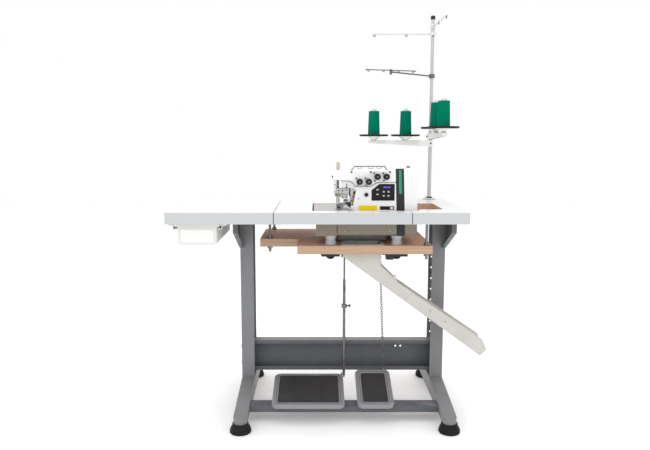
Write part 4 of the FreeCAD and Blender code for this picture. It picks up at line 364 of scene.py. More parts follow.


# a darker copy of the stand paint: painted shade for the parts that sit in shade, the table arms, treadle bar
# and rear beam
shadedStandLook = {"base": (0.12, 0.124, 0.134), "second": (0.098, 0.102, 0.11), "rough": (0.38, 0.52),
            "specular": 0.35, "wearColour": (0.38, 0.39, 0.4), "grain": 1400, "bump": 0.18}
finishLooks = {
    "standPaint": {"base": (0.212, 0.218, 0.228), "second": (0.18, 0.185, 0.195), "rough": (0.38, 0.52),
        "wear": 0.3, "wearColour": (0.42, 0.43, 0.44), "grain": 1400, "bump": 0.18, "dust": 0.04},
    "shadedStandPaint": {**shadedStandLook, "dust": 0.35, "dustColour": (0.4, 0.41, 0.42)},
    # the rear beam: the shaded copy of the stand paint, with a painted highlight on its top lip where light
    # falls
    "rearPaint": {**shadedStandLook, "dust": 0.05, "above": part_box("rear_beam")[1][2] - 0.0012,
        "aboveColour": (0.27, 0.274, 0.285)},
    "treadlePaint": {"base": (0.275, 0.282, 0.297), "second": (0.24, 0.246, 0.26), "rough": (0.36, 0.5),
        "wear": 0.45, "wearColour": (0.6, 0.6, 0.61), "grain": 1300, "bump": 0.2, "dust": 0.12},
    "padRubber": {"base": (0.011, 0.011, 0.012), "second": (0.019, 0.019, 0.02), "rough": (0.55, 0.75),
        "specular": 0.12, "wear": 0.2, "wearColour": (0.1, 0.1, 0.1), "grain": 700, "bump": 0.3,
        "dust": 0.05},
    "zincSteel": {"base": (0.52, 0.52, 0.5), "second": (0.4, 0.4, 0.385), "rough": (0.28, 0.46), "metal": 1,
        "wearColour": (0.75, 0.75, 0.74), "grain": 1100, "toneScale": 40},
    "brightSteel": {"base": (0.6, 0.6, 0.59), "second": (0.42, 0.42, 0.42), "rough": (0.16, 0.3),
        "metal": 1, "wear": 0.2, "wearColour": (0.85, 0.85, 0.85), "grain": 1500, "bump": 0.08,
        "toneScale": 60},
    "blackPlastic": {"base": (0.012, 0.012, 0.013), "second": (0.02, 0.02, 0.022), "rough": (0.32, 0.48),
        "specular": 0.14, "wear": 0.22, "wearColour": (0.1, 0.1, 0.1), "grain": 1600, "bump": 0.2,
        "dust": 0.03},
    "drawerPlastic": {"base": (0.77, 0.775, 0.76), "second": (0.72, 0.725, 0.71), "rough": (0.36, 0.5),
        "wear": 0.2, "wearColour": (0.86, 0.86, 0.84), "dust": 0.06},
    "chutePaint": {"base": (0.585, 0.57, 0.532), "second": (0.52, 0.505, 0.47), "rough": (0.34, 0.5),
        "wear": 0.3, "wearColour": (0.78, 0.77, 0.74), "grain": 1000, "bump": 0.18, "dust": 0.1},
    # the head's enamel takes painted shade below the table's level
    "headEnamel": {"base": (0.85, 0.857, 0.857), "second": (0.82, 0.828, 0.828), "rough": (0.16, 0.27),
        "coat": 0.35, "wear": 0.1, "wearColour": (0.62, 0.62, 0.62), "grain": 420, "bump": 0.06,
        "dust": 0.03, "shadeBelow": 0.748, "shadeBelowColour": (0.212, 0.176, 0.128)},
    "bandPlastic": {"base": (0.024, 0.029, 0.027), "second": (0.034, 0.039, 0.037), "rough": (0.36, 0.5),
        "specular": 0.2, "wearColour": (0.16, 0.17, 0.17), "grain": 1500, "bump": 0.2, "dust": 0.02,
        "behind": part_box("trim_band")[0][1] + 0.022, "behindColour": (0.85, 0.857, 0.857)},
    "greenPlastic": {"base": (0, 0.285, 0.14), "second": (0, 0.245, 0.12), "rough": (0.18, 0.28),
        "coat": 0.3, "wear": 0.12, "wearColour": (0.25, 0.55, 0.42), "grain": 800, "bump": 0.06,
        "dust": 0.02},
    "statorIron": {"base": (0.14, 0.14, 0.145), "second": (0.09, 0.09, 0.095), "rough": (0.45, 0.65),
        "metal": 0.8, "wear": 0.2, "bump": 0.3},
    "beigePlastic": {"base": (0.55, 0.49, 0.38), "second": (0.48, 0.42, 0.32), "rough": (0.38, 0.52),
        "wear": 0.2, "wearColour": (0.68, 0.62, 0.52), "grain": 1000, "bump": 0.2},
    "keyPlastic": {"base": (0.055, 0.058, 0.072), "second": (0.045, 0.048, 0.06), "rough": (0.42, 0.55),
        "wear": 0.2, "wearColour": (0.2, 0.2, 0.22), "grain": 1800, "edgeRadius": 0.0006},
    "polePaint": {"base": (0.56, 0.56, 0.55), "second": (0.48, 0.48, 0.47), "metal": 0.35,
        "rough": (0.26, 0.42), "wear": 0.3, "wearColour": (0.8, 0.8, 0.8), "grain": 1200, "bump": 0.12,
        "above": 1.5133, "aboveColour": (0.02, 0.02, 0.021)},
    "guideSteel": {"base": (0.16, 0.16, 0.165), "second": (0.12, 0.12, 0.124), "metal": 0.6,
        "rough": (0.26, 0.42), "wear": 0.3, "wearColour": (0.6, 0.6, 0.6), "grain": 1200, "bump": 0.12,
        "above": 1.4, "aboveColour": (0.7, 0.7, 0.69)},
    "whitePlastic": {"base": (0.87, 0.87, 0.85), "second": (0.82, 0.82, 0.8), "rough": (0.28, 0.42),
        "coat": 0.1, "wear": 0.15, "wearColour": (0.6, 0.6, 0.58), "bump": 0.12},
    "copperBrown": {"base": (0.46, 0.24, 0.135), "second": (0.32, 0.16, 0.09), "rough": (0.3, 0.45),
        "metal": 0.7, "wear": 0.3, "wearColour": (0.55, 0.32, 0.2), "bump": 0.2, "toneScale": 80},
    "yellowPlate": {"base": (0.84, 0.66, 0), "second": (0.8, 0.62, 0), "specular": 0.15,
        "rough": (0.34, 0.46), "wear": 0.2, "wearColour": (0.95, 0.85, 0.4), "grain": 1500, "bump": 0.1,
        "edgeRadius": 0.0006},
    "coreBrown": {"base": (0.78, 0.7, 0.74), "second": (0.7, 0.62, 0.66), "rough": (0.5, 0.7), "wear": 0.2,
        "grain": 700, "bump": 0.25, "wearColour": (0.85, 0.8, 0.82)},
    "darkSteel": {"base": (0.26, 0.26, 0.26), "second": (0.19, 0.19, 0.19), "rough": (0.3, 0.48),
        "metal": 0.9, "wear": 0.3, "wearColour": (0.6, 0.6, 0.6), "grain": 1100, "toneScale": 40},
    # the chain and pitman rod: bright edge marks, part wear and part painted highlights on the links
    "linkSteel": {"base": (0.22, 0.22, 0.218), "second": (0.1, 0.1, 0.102), "rough": (0.18, 0.36),
        "metal": 0.9, "wear": 0.6, "wearColour": (0.72, 0.71, 0.69), "grain": 1100, "toneScale": 40},
    "blackPaint": {"base": (0.022, 0.022, 0.023), "second": (0.032, 0.032, 0.033), "rough": (0.42, 0.56),
        "wear": 0.3, "specular": 0.3, "wearColour": (0.2, 0.2, 0.2), "grain": 1200, "bump": 0.2,
        "dust": 0.04},
    "cushionRubber": {"base": (0.5, 0.51, 0.52), "second": (0.42, 0.43, 0.44), "rough": (0.5, 0.66),
        "wear": 0.2, "wearColour": (0.6, 0.6, 0.6), "grain": 800, "bump": 0.25, "dust": 0.05},
    "brass": {"base": (0.52, 0.42, 0.2), "second": (0.42, 0.33, 0.15), "rough": (0.25, 0.4), "metal": 0.9,
        "wear": 0.3, "wearColour": (0.8, 0.7, 0.4), "grain": 1200, "bump": 0.12, "toneScale": 60},
    "signWhite": {"base": (0.82, 0.84, 0.86), "second": (0.76, 0.78, 0.8), "rough": (0.4, 0.5), "wear": 0,
        "grain": 1500, "bump": 0.05, "edgeRadius": 0.0002},
    "groundPlate": {"base": (0.54, 0.54, 0.535), "second": (0.43, 0.43, 0.43), "brushed": True,
        "rough": (0.3, 0.42), "metal": 0.9, "wear": 0.3, "wearColour": (0.8, 0.8, 0.8), "bump": 0.12,
        "bumpDepth": 0.0002, "dust": 0.02},
}
finishes = {name: makeFinish(name, look) for name, look in finishLooks.items()}

laminateLook = {
    "top": (0.75, 0.755, 0.755), "topSecond": (0.742, 0.748, 0.75), "topScale": 4,
    "band": (0.53, 0.545, 0.55), "under": (0.52, 0.52, 0.50),
    "raw": (0.76, 0.47, 0.32), "rawSecond": (0.60, 0.35, 0.23), "chipScale": 420,
    "edgeInset": 0.0132, "rough": (0.29, 0.32), "wear": 0, "dust": 0, "shadeAndGrime": 0, "bump": 0.05, "grain": 1800,
    "coat": 0.1, "seamShadeColour": (0.03, 0.03, 0.03),
    "cuts": ((-0.1515, 0.155), (0.3285, -0.2)), "cutHalf": 0.0012, "cutSoft": 0.0004,
}
facing = 0.5  # least part of a normal along an axis for a face to look that way


def makeLaminate():
    # white sheet above, darker grey on the outer edges, bare chipboard on the sawn walls, backing below
    look = laminateLook
    material, tree, shader = startMaterial("laminate")
    way, spot = splitAxes(faceNormal(tree)), splitAxes(objectCoords(tree))

    def distance(axis, middle):
        return addMath("ABSOLUTE", addMath("SUBTRACT", spot[axis], middle))

    up = addMath("GREATER_THAN", way["Z"], facing)
    down = addMath("LESS_THAN", way["Z"], -facing)
    outer = 0
    for i, axis in enumerate("XY"):
        half = (tableHigh[i] - tableLow[i]) / 2 - look["edgeInset"]
        near = addMath("GREATER_THAN", distance(axis, tableMiddle[i]), half)
        outer = addMath("MAXIMUM", outer, near)
    chips = useGroup(tree, "tone", Scale=look["chipScale"])
    raw = mixColour(chips["Tone"], look["raw"], look["rawSecond"])
    wall = mixColour(outer, raw, look["band"])
    tone = useGroup(tree, "tone", Scale=look["topScale"])
    top = mixColour(tone["Tone"], look["top"], look["topSecond"])
    colour = mixColour(down, mixColour(up, wall, top), look["under"])
    notSide = addMath("LESS_THAN", addMath("ABSOLUTE", way["X"]), facing)
    for gap, limit in look["cuts"]:
        # painted shade: a near-black line along the sawn seam between the top and its lift-out panel
        span = (look["cutHalf"], look["cutHalf"] + look["cutSoft"])
        line = addRange(distance("X", tableMiddle.x + gap), span, (1, 0))
        ahead = addMath("LESS_THAN", spot["Y"], tableMiddle.y + limit)
        colour = mixColour(product(line, ahead, notSide), colour, look["seamShadeColour"])
    finishSurface(tree, shader, look, colour)
    return material


boardLook = {
    "face": (0.74, 0.41, 0.255), "faceSecond": (0.56, 0.29, 0.175), "edge": (0.56, 0.375, 0.25),
    "edgeSecond": (0.43, 0.27, 0.17), "rough": (0.5, 0.68), "wear": 0.2, "wearColour": (0.7, 0.55, 0.4),
    "dust": 0.03, "bump": 0.25, "bumpDepth": 0.0004,
}


def makeBoard():
    look = boardLook
    material, tree, shader = startMaterial("beechBoard")
    figure = useGroup(tree, "wood")
    level = addMath("ABSOLUTE", splitAxes(faceNormal(tree))["Z"])
    flat = addMath("GREATER_THAN", level, facing)
    face = mixColour(figure["Tone"], look["face"], look["faceSecond"])
    edge = mixColour(figure["Tone"], look["edge"], look["edgeSecond"])
    finishSurface(tree, shader, look, mixColour(flat, edge, face), figure["Height"])
    return material


matLook = {
    "base": (0.030, 0.029, 0.031), "second": (0.044, 0.042, 0.045), "toneScale": 18, "rough": (0.6, 0.8),
    "specular": 0.15, "wearColour": (0.13, 0.13, 0.13), "dust": 0.12,
    "dustColour": (0.12, 0.118, 0.115), "bump": 0.7, "bumpDepth": 0.0012, "ribPitch": 0.0055,
    "ridgeSpan": (0.2, 0.95), "ridgeShare": 0.35, "ridgeColour": (0.085, 0.084, 0.083),
}


def makeMat():
    # fine diamond ribs pressed into black rubber
    look = matLook
    material, tree, shader = startMaterial("ribbedMat")
    tone = useGroup(tree, "tone", Scale=look["toneScale"])
    colour = mixColour(tone["Tone"], look["base"], look["second"])
    spot = splitAxes(objectCoords(tree))
    turn = fullTurn / look["ribPitch"] / math.sqrt(2)
    waves = []
    for kind in ("ADD", "SUBTRACT"):
        line = addMath(kind, spot["X"], spot["Y"])
        waves.append(addMath("SINE", product(line, turn)))
    ridge = addRange(addMath("MAXIMUM", *waves), look["ridgeSpan"])
    colour = mixColour(product(ridge, look["ridgeShare"]), colour, look["ridgeColour"])
    finishSurface(tree, shader, look, colour, ridge)
    return material


threadLook = {
    "base": (0, 0.235, 0.135), "second": (0, 0.145, 0.085), "deep": (0, 0.155, 0.088), "bandScale": 70,
    "climb": 5890, "lean": 11, "cross": (55, 2, 0.5), "crossSpan": (0.45, 0.55), "rough": (0.6, 0.75),
    "specular": 0.03, "wear": 0, "dust": 0, "shadeAndGrime": 0, "bump": 0.65, "bumpDepth": 0.0005,
    "edgeRadius": 0.0005,
}


def makeThread():
    # crossed layers of thread, wound up and down the cone
    look = threadLook
    material, tree, shader = startMaterial("woundThread")
    spot = splitAxes(objectCoords(tree))
    around = addMath("ARCTAN2", spot["Y"], spot["X"])
    rise = product(spot["Z"], look["climb"])
    pick = addRange(addNoise(tree, *look["cross"]), look["crossSpan"])
    layers = []
    for lean, share in ((look["lean"], pick), (-look["lean"], addMath("SUBTRACT", 1, pick))):
        line = addMath("ADD", rise, product(around, lean))
        layers.append(product(addMath("SINE", line), share))
    strand = addRange(addMath("ADD", *layers), (-1, 1))
    band = useGroup(tree, "tone", Scale=look["bandScale"])
    deep = mixColour(band["Tone"], look["second"], look["deep"])
    finishSurface(tree, shader, look, mixColour(strand, deep, look["base"]), strand)
    return material


displayLook = {"glow": (0.16, 0.11, 0.70), "second": (0.05, 0.04, 0.30), "strength": 0.6, "rough": 0.3,
               "toneScale": 260, "toneLow": 0.55}


def makeGlow():
    look = displayLook
    material, tree, shader = startMaterial("displayGlow")
    tone = useGroup(tree, "tone", Scale=look["toneScale"], Low=look["toneLow"], High=1)
    colour = mixColour(tone["Tone"], look["second"], look["glow"])
    feedAll(shader, {"Emission Color": colour, "Base Color": colour, "Roughness": look["rough"],
                     "Emission Strength": look["strength"]})
    return material


finishes.update({"laminate": makeLaminate(), "beechBoard": makeBoard(), "ribbedMat": makeMat(),
                 "woundThread": makeThread(), "displayGlow": makeGlow()})
print("finishes made:", len(finishes))

nodeFinish = {
    "standPaint": ["feet", "columns"], "shadedStandPaint": ["table_arms", "treadle_bar"], "rearPaint": ["rear_beam"],
    "treadlePaint": ["speed_treadle", "lift_treadle"], "padRubber": ["rubber_feet"],
    "zincSteel": ["stand_bolts", "panel_rests"], "cushionRubber": ["head_cushions"],
    "darkSteel": ["hanger_rods", "speed_lever", "lift_lever", "thread_guides", "oil_pan"],
    "linkSteel": ["pitman_rod", "lift_chain"], "blackPaint": ["under_board_plates"],
    "brightSteel": ["needle_bar", "presser_foot", "main_shaft", "loopers_and_knives"],
    "blackPlastic": ["speed_unit", "control_panel", "cover_knob", "hand_wheel", "spool_dishes"]
                    + ["tension_knob_%d" % i for i in range(1, 5)],
    "drawerPlastic": ["drawer", "drawer_runners"], "chutePaint": ["waste_chute"],
    "headEnamel": ["head_casting", "upper_cover", "front_cover", "motor_cover"],
    "bandPlastic": ["trim_band"], "greenPlastic": ["green_insert"], "statorIron": ["motor_stator"],
    "beigePlastic": ["pressure_screw"], "keyPlastic": ["key_%d" % i for i in range(1, 7)],
    "polePaint": ["stand_pole"], "guideSteel": ["pole_guides"], "whitePlastic": ["spool_arms"],
    "laminate": ["table_top", "lift_out_panel"], "beechBoard": ["work_board"],
    "groundPlate": ["cloth_plate", "needle_plate"], "ribbedMat": ["speed_treadle_mat", "lift_treadle_mat"],
}
for name, nodeNames in nodeFinish.items():
    for nodeName in nodeNames:
        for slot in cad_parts[nodeName].material_slots:
            slot.material = finishes[name]
print("finishes on CAD nodes:", sum(len(v) for v in nodeFinish.values()))


# Pieces
def newObject(name, mesh, material):
    data = bpy.data.meshes.new(name)
    mesh.to_mesh(data)
    mesh.free()
    data.materials.append(material)
    made = bpy.data.objects.new(name, data)
    bpy.context.collection.objects.link(made)
    return made


def makePiece(name, mesh, finish, body, smooth=True):
    bmesh.ops.recalc_face_normals(mesh, faces=mesh.faces)
    piece = newObject(name, mesh, finishes[finish])
    for face in piece.data.polygons:
        face.use_smooth = smooth
    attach(piece, body)
    return piece


def capRings(mesh, rings):
    mesh.faces.new(rings[0])
    mesh.faces.new(rings[-1])


def joinRings(mesh, low, high):
    for i in range(len(low)):
        j = (i + 1) % len(low)
        mesh.faces.new((low[i], low[j], high[j], high[i]))


def turnRings(mesh, profile, steps, ripple=None):
    # rings of (radius, height) about Z in metres, with the faces between them
    rings = []
    for radius, height in profile:
        ring = []
        for i in range(steps):
            turn = fullTurn * i / steps
            grown = radius + (ripple(turn, height) if ripple else 0)
            ring.append(mesh.verts.new((grown * math.cos(turn), grown * math.sin(turn), height)))
        rings.append(ring)
    for low, high in zip(rings, rings[1:]):
        joinRings(mesh, low, high)
    return rings


def setTurned(name, profile, steps, finish, spot, body="frame", loop=True, ripple=None):
    # a profile in millimetres, turned about Z; its ends meet in a loop or are capped
    mesh = bmesh.new()
    rings = turnRings(mesh, inMetres(profile), steps, ripple)
    if loop:
        joinRings(mesh, rings[-1], rings[0])
    else:
        capRings(mesh, rings)
    piece = makePiece(name, mesh, finish, body)
    piece.location = place(*spot)
    return piece


coneLook = {
    "pole": (471, 235), "arms": ((221, 180), (250, -88)), "reach": (104, 236), "seat": 45,
    "low": 25, "high": 22, "height": 101, "foot": 3, "footInset": 3, "inner": (14.7, 11.5),
    "rows": 150, "steps": 72, "sink": 0.3, "rimTall": 3, "rimRound": 2.2,
    "wave": 0.22, "pitch": 4.2, "crossings": 7, "phaseSpan": 6.28, "coreSteps": 40,
    "core": ((13.5, 0), (15, 0), (15, 1), (11, 109), (10.6, 110), (9.5, 110), (13, 0.5)),
    "dishLevel": 42,
    "dishRim": ((57.6, 1.5), (59.6, 1.5), (59.9, 2.2), (59.9, 7.2), (59.4, 8), (58, 8), (57.6, 7.4)),
}


def woundProfile(look):
    profile = [(look["inner"][0], look["foot"]), (look["low"] - look["footInset"], look["foot"])]
    for i in range(look["rows"] + 1):
        share = i / look["rows"]
        radius = look["low"] + (look["high"] - look["low"]) * share
        corner = min(share, 1 - share) * look["height"]
        if corner < look["rimTall"]:
            bend = (look["rimTall"] - corner) / look["rimTall"]
            radius -= look["rimRound"] * (1 - math.sqrt(max(0, 1 - bend ** 2)))
        profile.append((radius - look["sink"], look["foot"] + (look["height"] - look["foot"]) * share))
    return profile + [(look["inner"][1], look["height"])]


def buildCones():
    look = coneLook
    made = 0
    for rise, heading in look["arms"]:
        for reach in look["reach"]:
            made += 1
            phase = random.Random(made).uniform(0, look["phaseSpan"])

            def ripple(angle, height, phase=phase):
                climb = height * 1000 * fullTurn / look["pitch"]
                lean = look["crossings"] * angle
                return look["wave"] / 1000 * (math.sin(climb + lean + phase) + math.sin(climb - lean)) / 2

            base = armSpot(look["pole"], heading, reach, rise + look["seat"])
            cone = setTurned("threadCone%d" % made, woundProfile(look), look["steps"], "woundThread",
                             base, ripple=ripple)
            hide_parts("thread_cones")
            core = setTurned("coneCore%d" % made, look["core"], look["coreSteps"], "coreBrown",
                             base)
            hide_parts("thread_cones")
            setTurned("dishRim%d" % made, look["dishRim"], look["steps"], "blackPlastic",
                      armSpot(look["pole"], heading, reach, rise + look["dishLevel"]))
    print("thread cones wound:", made)


buildCones()

# shares of a screw head's radius and height
screwShape = {
    "steps": 24, "profile": ((1, 0), (1, 0.6), (0.82, 1), (0.5, 1)), "recess": 0.45,
    "hex": 0.42, "crossLong": 0.46, "crossShort": 0.16, "crossSpread": 0.5, "taper": 0.95,
}


def screwMesh(radius, height, recess):
    # a domed head with a hexagon or cross recess, its base on the origin and its top along +Z
    shape = screwShape
    mesh = bmesh.new()
    rings = turnRings(mesh, [(radius * r, height * z) for r, z in shape["profile"]], shape["steps"])
    mesh.faces.new(rings[0])
    inner = []
    for i in range(shape["steps"]):
        turn = fullTurn * i / shape["steps"]
        if recess == "hex":
            reach = shape["hex"] / math.cos((turn % (math.pi / 3)) - math.pi / 6)
        else:
            reach = shape["crossLong" if abs(math.sin(2 * turn)) < shape["crossSpread"] else "crossShort"]
        inner.append((radius * reach * math.cos(turn), radius * reach * math.sin(turn)))
    low, taper = height * (1 - shape["recess"]), shape["taper"]
    rim = [mesh.verts.new((x, y, height)) for x, y in inner]
    floor = [mesh.verts.new((x * taper, y * taper, low)) for x, y in inner]
    joinRings(mesh, rings[-1], rim)
    joinRings(mesh, rim, floor)
    mesh.faces.new(floor)
    return mesh


# each kind is its finish, slot and recess
screwKinds = {"black": ("blackPlastic", "zinc_steel", "hex"), "zinc": ("zincSteel", "zinc_steel", "cross"),
              "gold": ("brass", "bright_steel", "hex")}
screwWays = {"front": (0, -1, 0), "left": (-1, 0, 0), "right": (1, 0, 0), "up": (0, 0, 1)}
# name, body, kind, radius, height, way, places
screwLooks = [
    ("coverScrew", "frame", "black", 3.4, 2.2, "front",
     ((122, -180, 916), (190.6, -180, 916), (258.4, -180, 916))),
    ("armScrew", "frame", "black", 4.2, 3.4, "left", ((56, -140, 897),)),
    ("frontScrew", "front_cover", "zinc", 2.6, 1.4, "front",
     ((147, -180, 821), (85, -180, 764), (262, -180, 704), (100, -180, 704))),
    ("plateScrew", "frame", "zinc", 3, 0.6, "up",
     ((2, -190, 780), (112, -192, 780), (2, 20, 780), (112, 20, 780))),
    ("guardScrew", "frame", "black", 2.4, 1.8, "front",
     ((105, -162, 850), (91, -159, 826), (105, -159, 826), (123, -160, 811))),
    ("housingScrew", "frame", "zinc", 2.2, 1, "front", ((64, -150, 842),)),
    ("clampScrew", "needle_bar", "black", 1.9, 2, "front", ((103, -126.5, 843.5), (109, -126.5, 843.5))),
    ("motorScrew", "frame", "zinc", 3, 1.5, "right",
     ((358.9, -160, 705), (358.9, 10, 705), (357.4, -150, 890), (357.4, 0, 890))),
    ("wingScrew", "frame", "black", 2.5, 1.8, "front", ((76.7, -163.5, 848.5), (90.7, -163.5, 848.5))),
    ("looperScrew", "frame", "black", 2, 1.4, "front",
     ((97, -159, 800), (100, -160, 813), (130.5, -163.5, 826), (130.5, -163.5, 804))),
    ("goldKnob", "frame", "gold", 6, 4, "front", ((81, -152.5, 831),)),
    ("chuteRivet", "frame", "zinc", 3.2, 1.6, "front", ((416, -166.2, 404.5), (472, -166.2, 364))),
    ("poleScrew", "frame", "black", 3.6, 4.5, "front", ((471, 222, 1014),)),
    ("poleSideScrew", "frame", "black", 3.6, 4.5, "left", ((458, 235, 1043),)),
    ("guideScrew", "frame", "black", 2.8, 4, "front", ((471, 224, 1448),)),
]


def buildScrews():
    count = 0
    for name, body, kind, radius, height, way, spots in screwLooks:
        finish, slotName, recess = screwKinds[kind]
        for i, spot in enumerate(spots):
            mesh = screwMesh(radius / 1000, height / 1000, recess)
            piece = makePiece("%s%d" % (name, i + 1), mesh, finish, body, smooth=False)
            piece.rotation_euler = Vector(screwWays[way]).to_track_quat("Z", "Y").to_euler()
            piece.location = place(*spot)
            count += 1
    print("screws set:", count)


buildScrews()


def plateMesh(outline, depth, chamfer):
    # a flat plate in X-Z with a chamfered front, its back on Y = 0 and its front towards -Y
    mesh = bmesh.new()
    count = len(outline)
    middle = Vector((sum(x for x, z in outline) / count, 0, sum(z for x, z in outline) / count))
    rings = []
    for level, inset in ((0, 0), (-depth + chamfer, 0), (-depth, chamfer)):
        ring = []
        for x, z in outline:
            away = Vector((x, 0, z)) - middle
            spot = middle + away * (1 - inset / max(away.length, tiny))
            ring.append(mesh.verts.new((spot.x, level, spot.z)))
        rings.append(ring)
    for low, high in zip(rings, rings[1:]):
        joinRings(mesh, low, high)
    capRings(mesh, rings)
    return mesh


def roundedOutline(width, height, radius, steps=5):
    points = []
    for cornerX, cornerZ, start in ((1, 1, 0), (-1, 1, 90), (-1, -1, 180), (1, -1, 270)):
        for i in range(steps + 1):
            turn = math.radians(start + 90 * i / steps)
            points.append((cornerX * (width / 2 - radius) + radius * math.cos(turn),
                           cornerZ * (height / 2 - radius) + radius * math.sin(turn)))
    return points


def setFlat(name, outline, depth, chamfer, finish, spot, body="frame"):
    # a plate in millimetres, with the middle of its back at the spot
    mesh = plateMesh(inMetres(outline), depth / 1000, chamfer / 1000)
    piece = makePiece(name, mesh, finish, body, smooth=False)
    piece.location = place(*spot)
    return piece


def setPlates(looks, chamferShare):
    for name, body, finish, slotName, width, height, corner, depth, spot in looks:
        setFlat(name, roundedOutline(width, height, corner), depth, min(depth, corner) * chamferShare, finish,
                spot, body)


# name, body, finish, slot, width, height, corner, depth, place of the middle of its back
signLooks = [
    ("yellowPlate", "front_cover", "yellowPlate", "beige_plastic", 66, 17.5, 2, 0.5, (181, -180, 787.5)),
    ("typePlate", "front_cover", "blackPlastic", "black_plastic", 51, 13, 1, 0.5, (249.7, -180, 787)),
    ("typePlateField", "front_cover", "signWhite", "white_plastic", 10, 8, 0.5, 0.2, (266, -180.5, 787)),
    ("displayGlass", "frame", "blackPlastic", "black_plastic", 31, 11, 0.8, 0.3, (248, -181.2, 862.5)),
]
signChamfer = 0.3
setPlates(signLooks, signChamfer)
print("plates set:", len(signLooks))

# a key's number, its place and the way its arrow points
panelLook = {
    "arrows": ((3, 237, 846, 1), (4, 254, 846, 1), (5, 237, 831, -1), (6, 254, 831, -1)),
    "bars": ((1, 215, 853), (2, 215, 836.5)), "keyFace": -183.5, "size": 8, "depth": 0.2,
    "chamfer": 0.05, "levels": (5, 6.6, 5, 6.6, 3.4, 6.6, 5, 6.6), "levelAt": (236.5, -181.5, 858.6),
    "levelPitch": 3.3, "levelWide": 2.1, "levelCorner": 0.4, "levelDepth": 0.15, "levelChamfer": 0.04,
}


def buildPanel():
    look = panelLook
    size = look["size"]
    signs = [("keyArrow", key, x, z, [(-size / 2, -way * size / 4), (size / 2, -way * size / 4),
                                      (0, way * size / 3)]) for key, x, z, way in look["arrows"]]
    signs += [("keyBar", key, x, z, roundedOutline(size, size / 3, size / 8)) for key, x, z in look["bars"]]
    for name, key, x, z, outline in signs:
        setFlat("%s%d" % (name, key), outline, look["depth"], look["chamfer"], "signWhite",
                (x, look["keyFace"], z), "key_%d" % key)
    x, y, z = look["levelAt"]
    for i, tall in enumerate(look["levels"]):
        outline = roundedOutline(look["levelWide"], tall, look["levelCorner"], 2)
        setFlat("levelBar%d" % (i + 1), outline, look["levelDepth"], look["levelChamfer"], "displayGlow",
                (x + i * look["levelPitch"], y, z + tall / 2))
    print("panel signs:", len(signs), "level bars:", len(look["levels"]))


buildPanel()


def tubeMesh(points, radius, closed=False, up=(0, 1, 0), steps=10):
    # a round wire through the points, given in metres
    mesh = bmesh.new()
    count = len(points)
    rings = []
    for i, point in enumerate(points):
        before = points[i - 1] if i > 0 or closed else point
        after = points[(i + 1) % count] if i < count - 1 or closed else point
        along = (Vector(after) - Vector(before)).normalized()
        side = along.cross(Vector(up))
        side = side.normalized() if side.length > tiny else Vector((1, 0, 0))
        other = along.cross(side).normalized()
        ring = []
        for k in range(steps):
            turn = fullTurn * k / steps
            away = math.cos(turn) * side + math.sin(turn) * other
            ring.append(mesh.verts.new(Vector(point) + radius * away))
        rings.append(ring)
    for low, high in zip(rings, rings[1:]):
        joinRings(mesh, low, high)
    if closed:
        joinRings(mesh, rings[-1], rings[0])
    else:
        capRings(mesh, rings)
    return mesh


def flatPoints(outline):
    return [(x / 1000, 0, z / 1000) for x, z in outline]


wireLook = {
    "loops": (151, 191, 222), "loopWide": 17, "loopTall": 7, "loopCorner": 3.2, "loopWire": 0.9,
    "loopAt": (-158, 931), "pole": (471, 235), "arms": ((668, 180), (698, -88)),
    "eyes": (108, 238), "eyeRadius": 4.6, "eyeCorner": 0.98, "eyeWire": 1.4, "eyeRise": 3.4,
    "cornerSteps": 6, "faceWire": 0.9, "faceLevel": -160.3,
    "faceRim": ((85, 884), (100, 883.2), (113, 881.6), (122, 878.6), (129, 873.6), (133.5, 867),
                (136, 860.5)),
}


def buildWires():
    look = wireLook
    count = 0
    for spot in look["loops"]:
        count += 1
        outline = roundedOutline(look["loopWide"], look["loopTall"], look["loopCorner"], look["cornerSteps"])
        mesh = tubeMesh(flatPoints(outline), look["loopWire"] / 1000, True)
        piece = makePiece("headLoop%d" % count, mesh, "darkSteel", "frame")
        piece.location = place(spot, *look["loopAt"])
    wide = 2 * look["eyeRadius"]
    outline = roundedOutline(wide, wide, look["eyeRadius"] * look["eyeCorner"], look["cornerSteps"])
    for rise, heading in look["arms"]:
        for reach in look["eyes"]:
            count += 1
            mesh = tubeMesh(flatPoints(outline), look["eyeWire"] / 1000, True)
            piece = makePiece("guideEye%d" % count, mesh, "blackPlastic", "frame")
            piece.rotation_euler = (0, 0, math.radians(heading))
            piece.location = place(*armSpot(look["pole"], heading, reach, rise + look["eyeRise"]))
    points = [place(x, look["faceLevel"], z) for x, z in look["faceRim"]]
    makePiece("faceRim", tubeMesh(points, look["faceWire"] / 1000), "darkSteel", "frame")
    print("wire loops:", count + 1)


buildWires()

ribLook = {
    "front": (-259, 78.5), "corner": 24, "insets": (7, 14.5), "paints": ("standPaint", "shadedStandPaint"),
    "wire": 1.2, "cornerSteps": 8,
    "treadles": (("speed_treadle", -166, 266, 218, 11), ("lift_treadle", 146, 134, 215, 16.6)),
}


def buildRibs():
    # pressed ribs round the rim of each treadle, drawn from its left front corner; the inner rib takes the
    # shaded copy of the stand paint, painted shade along the mat's edge
    look = ribLook
    for body, left, width, depth, tilt in look["treadles"]:
        for i, inset in enumerate(look["insets"]):
            outline = roundedOutline(width - 2 * inset, depth - 2 * inset, look["corner"] - inset,
                                     look["cornerSteps"])
            points = [((x + width / 2) / 1000, (y + depth / 2) / 1000, 0) for x, y in outline]
            mesh = tubeMesh(points, look["wire"] / 1000, True, (0, 0, 1))
            name = "%sRib%d" % (body.split("_")[0], i + 1)
            piece = makePiece(name, mesh, look["paints"][i], body)
            piece.rotation_euler = (math.radians(tilt), 0, 0)
            piece.location = place(left, *look["front"])
    print("treadle ribs:", len(look["insets"]) * len(look["treadles"]))


buildRibs()

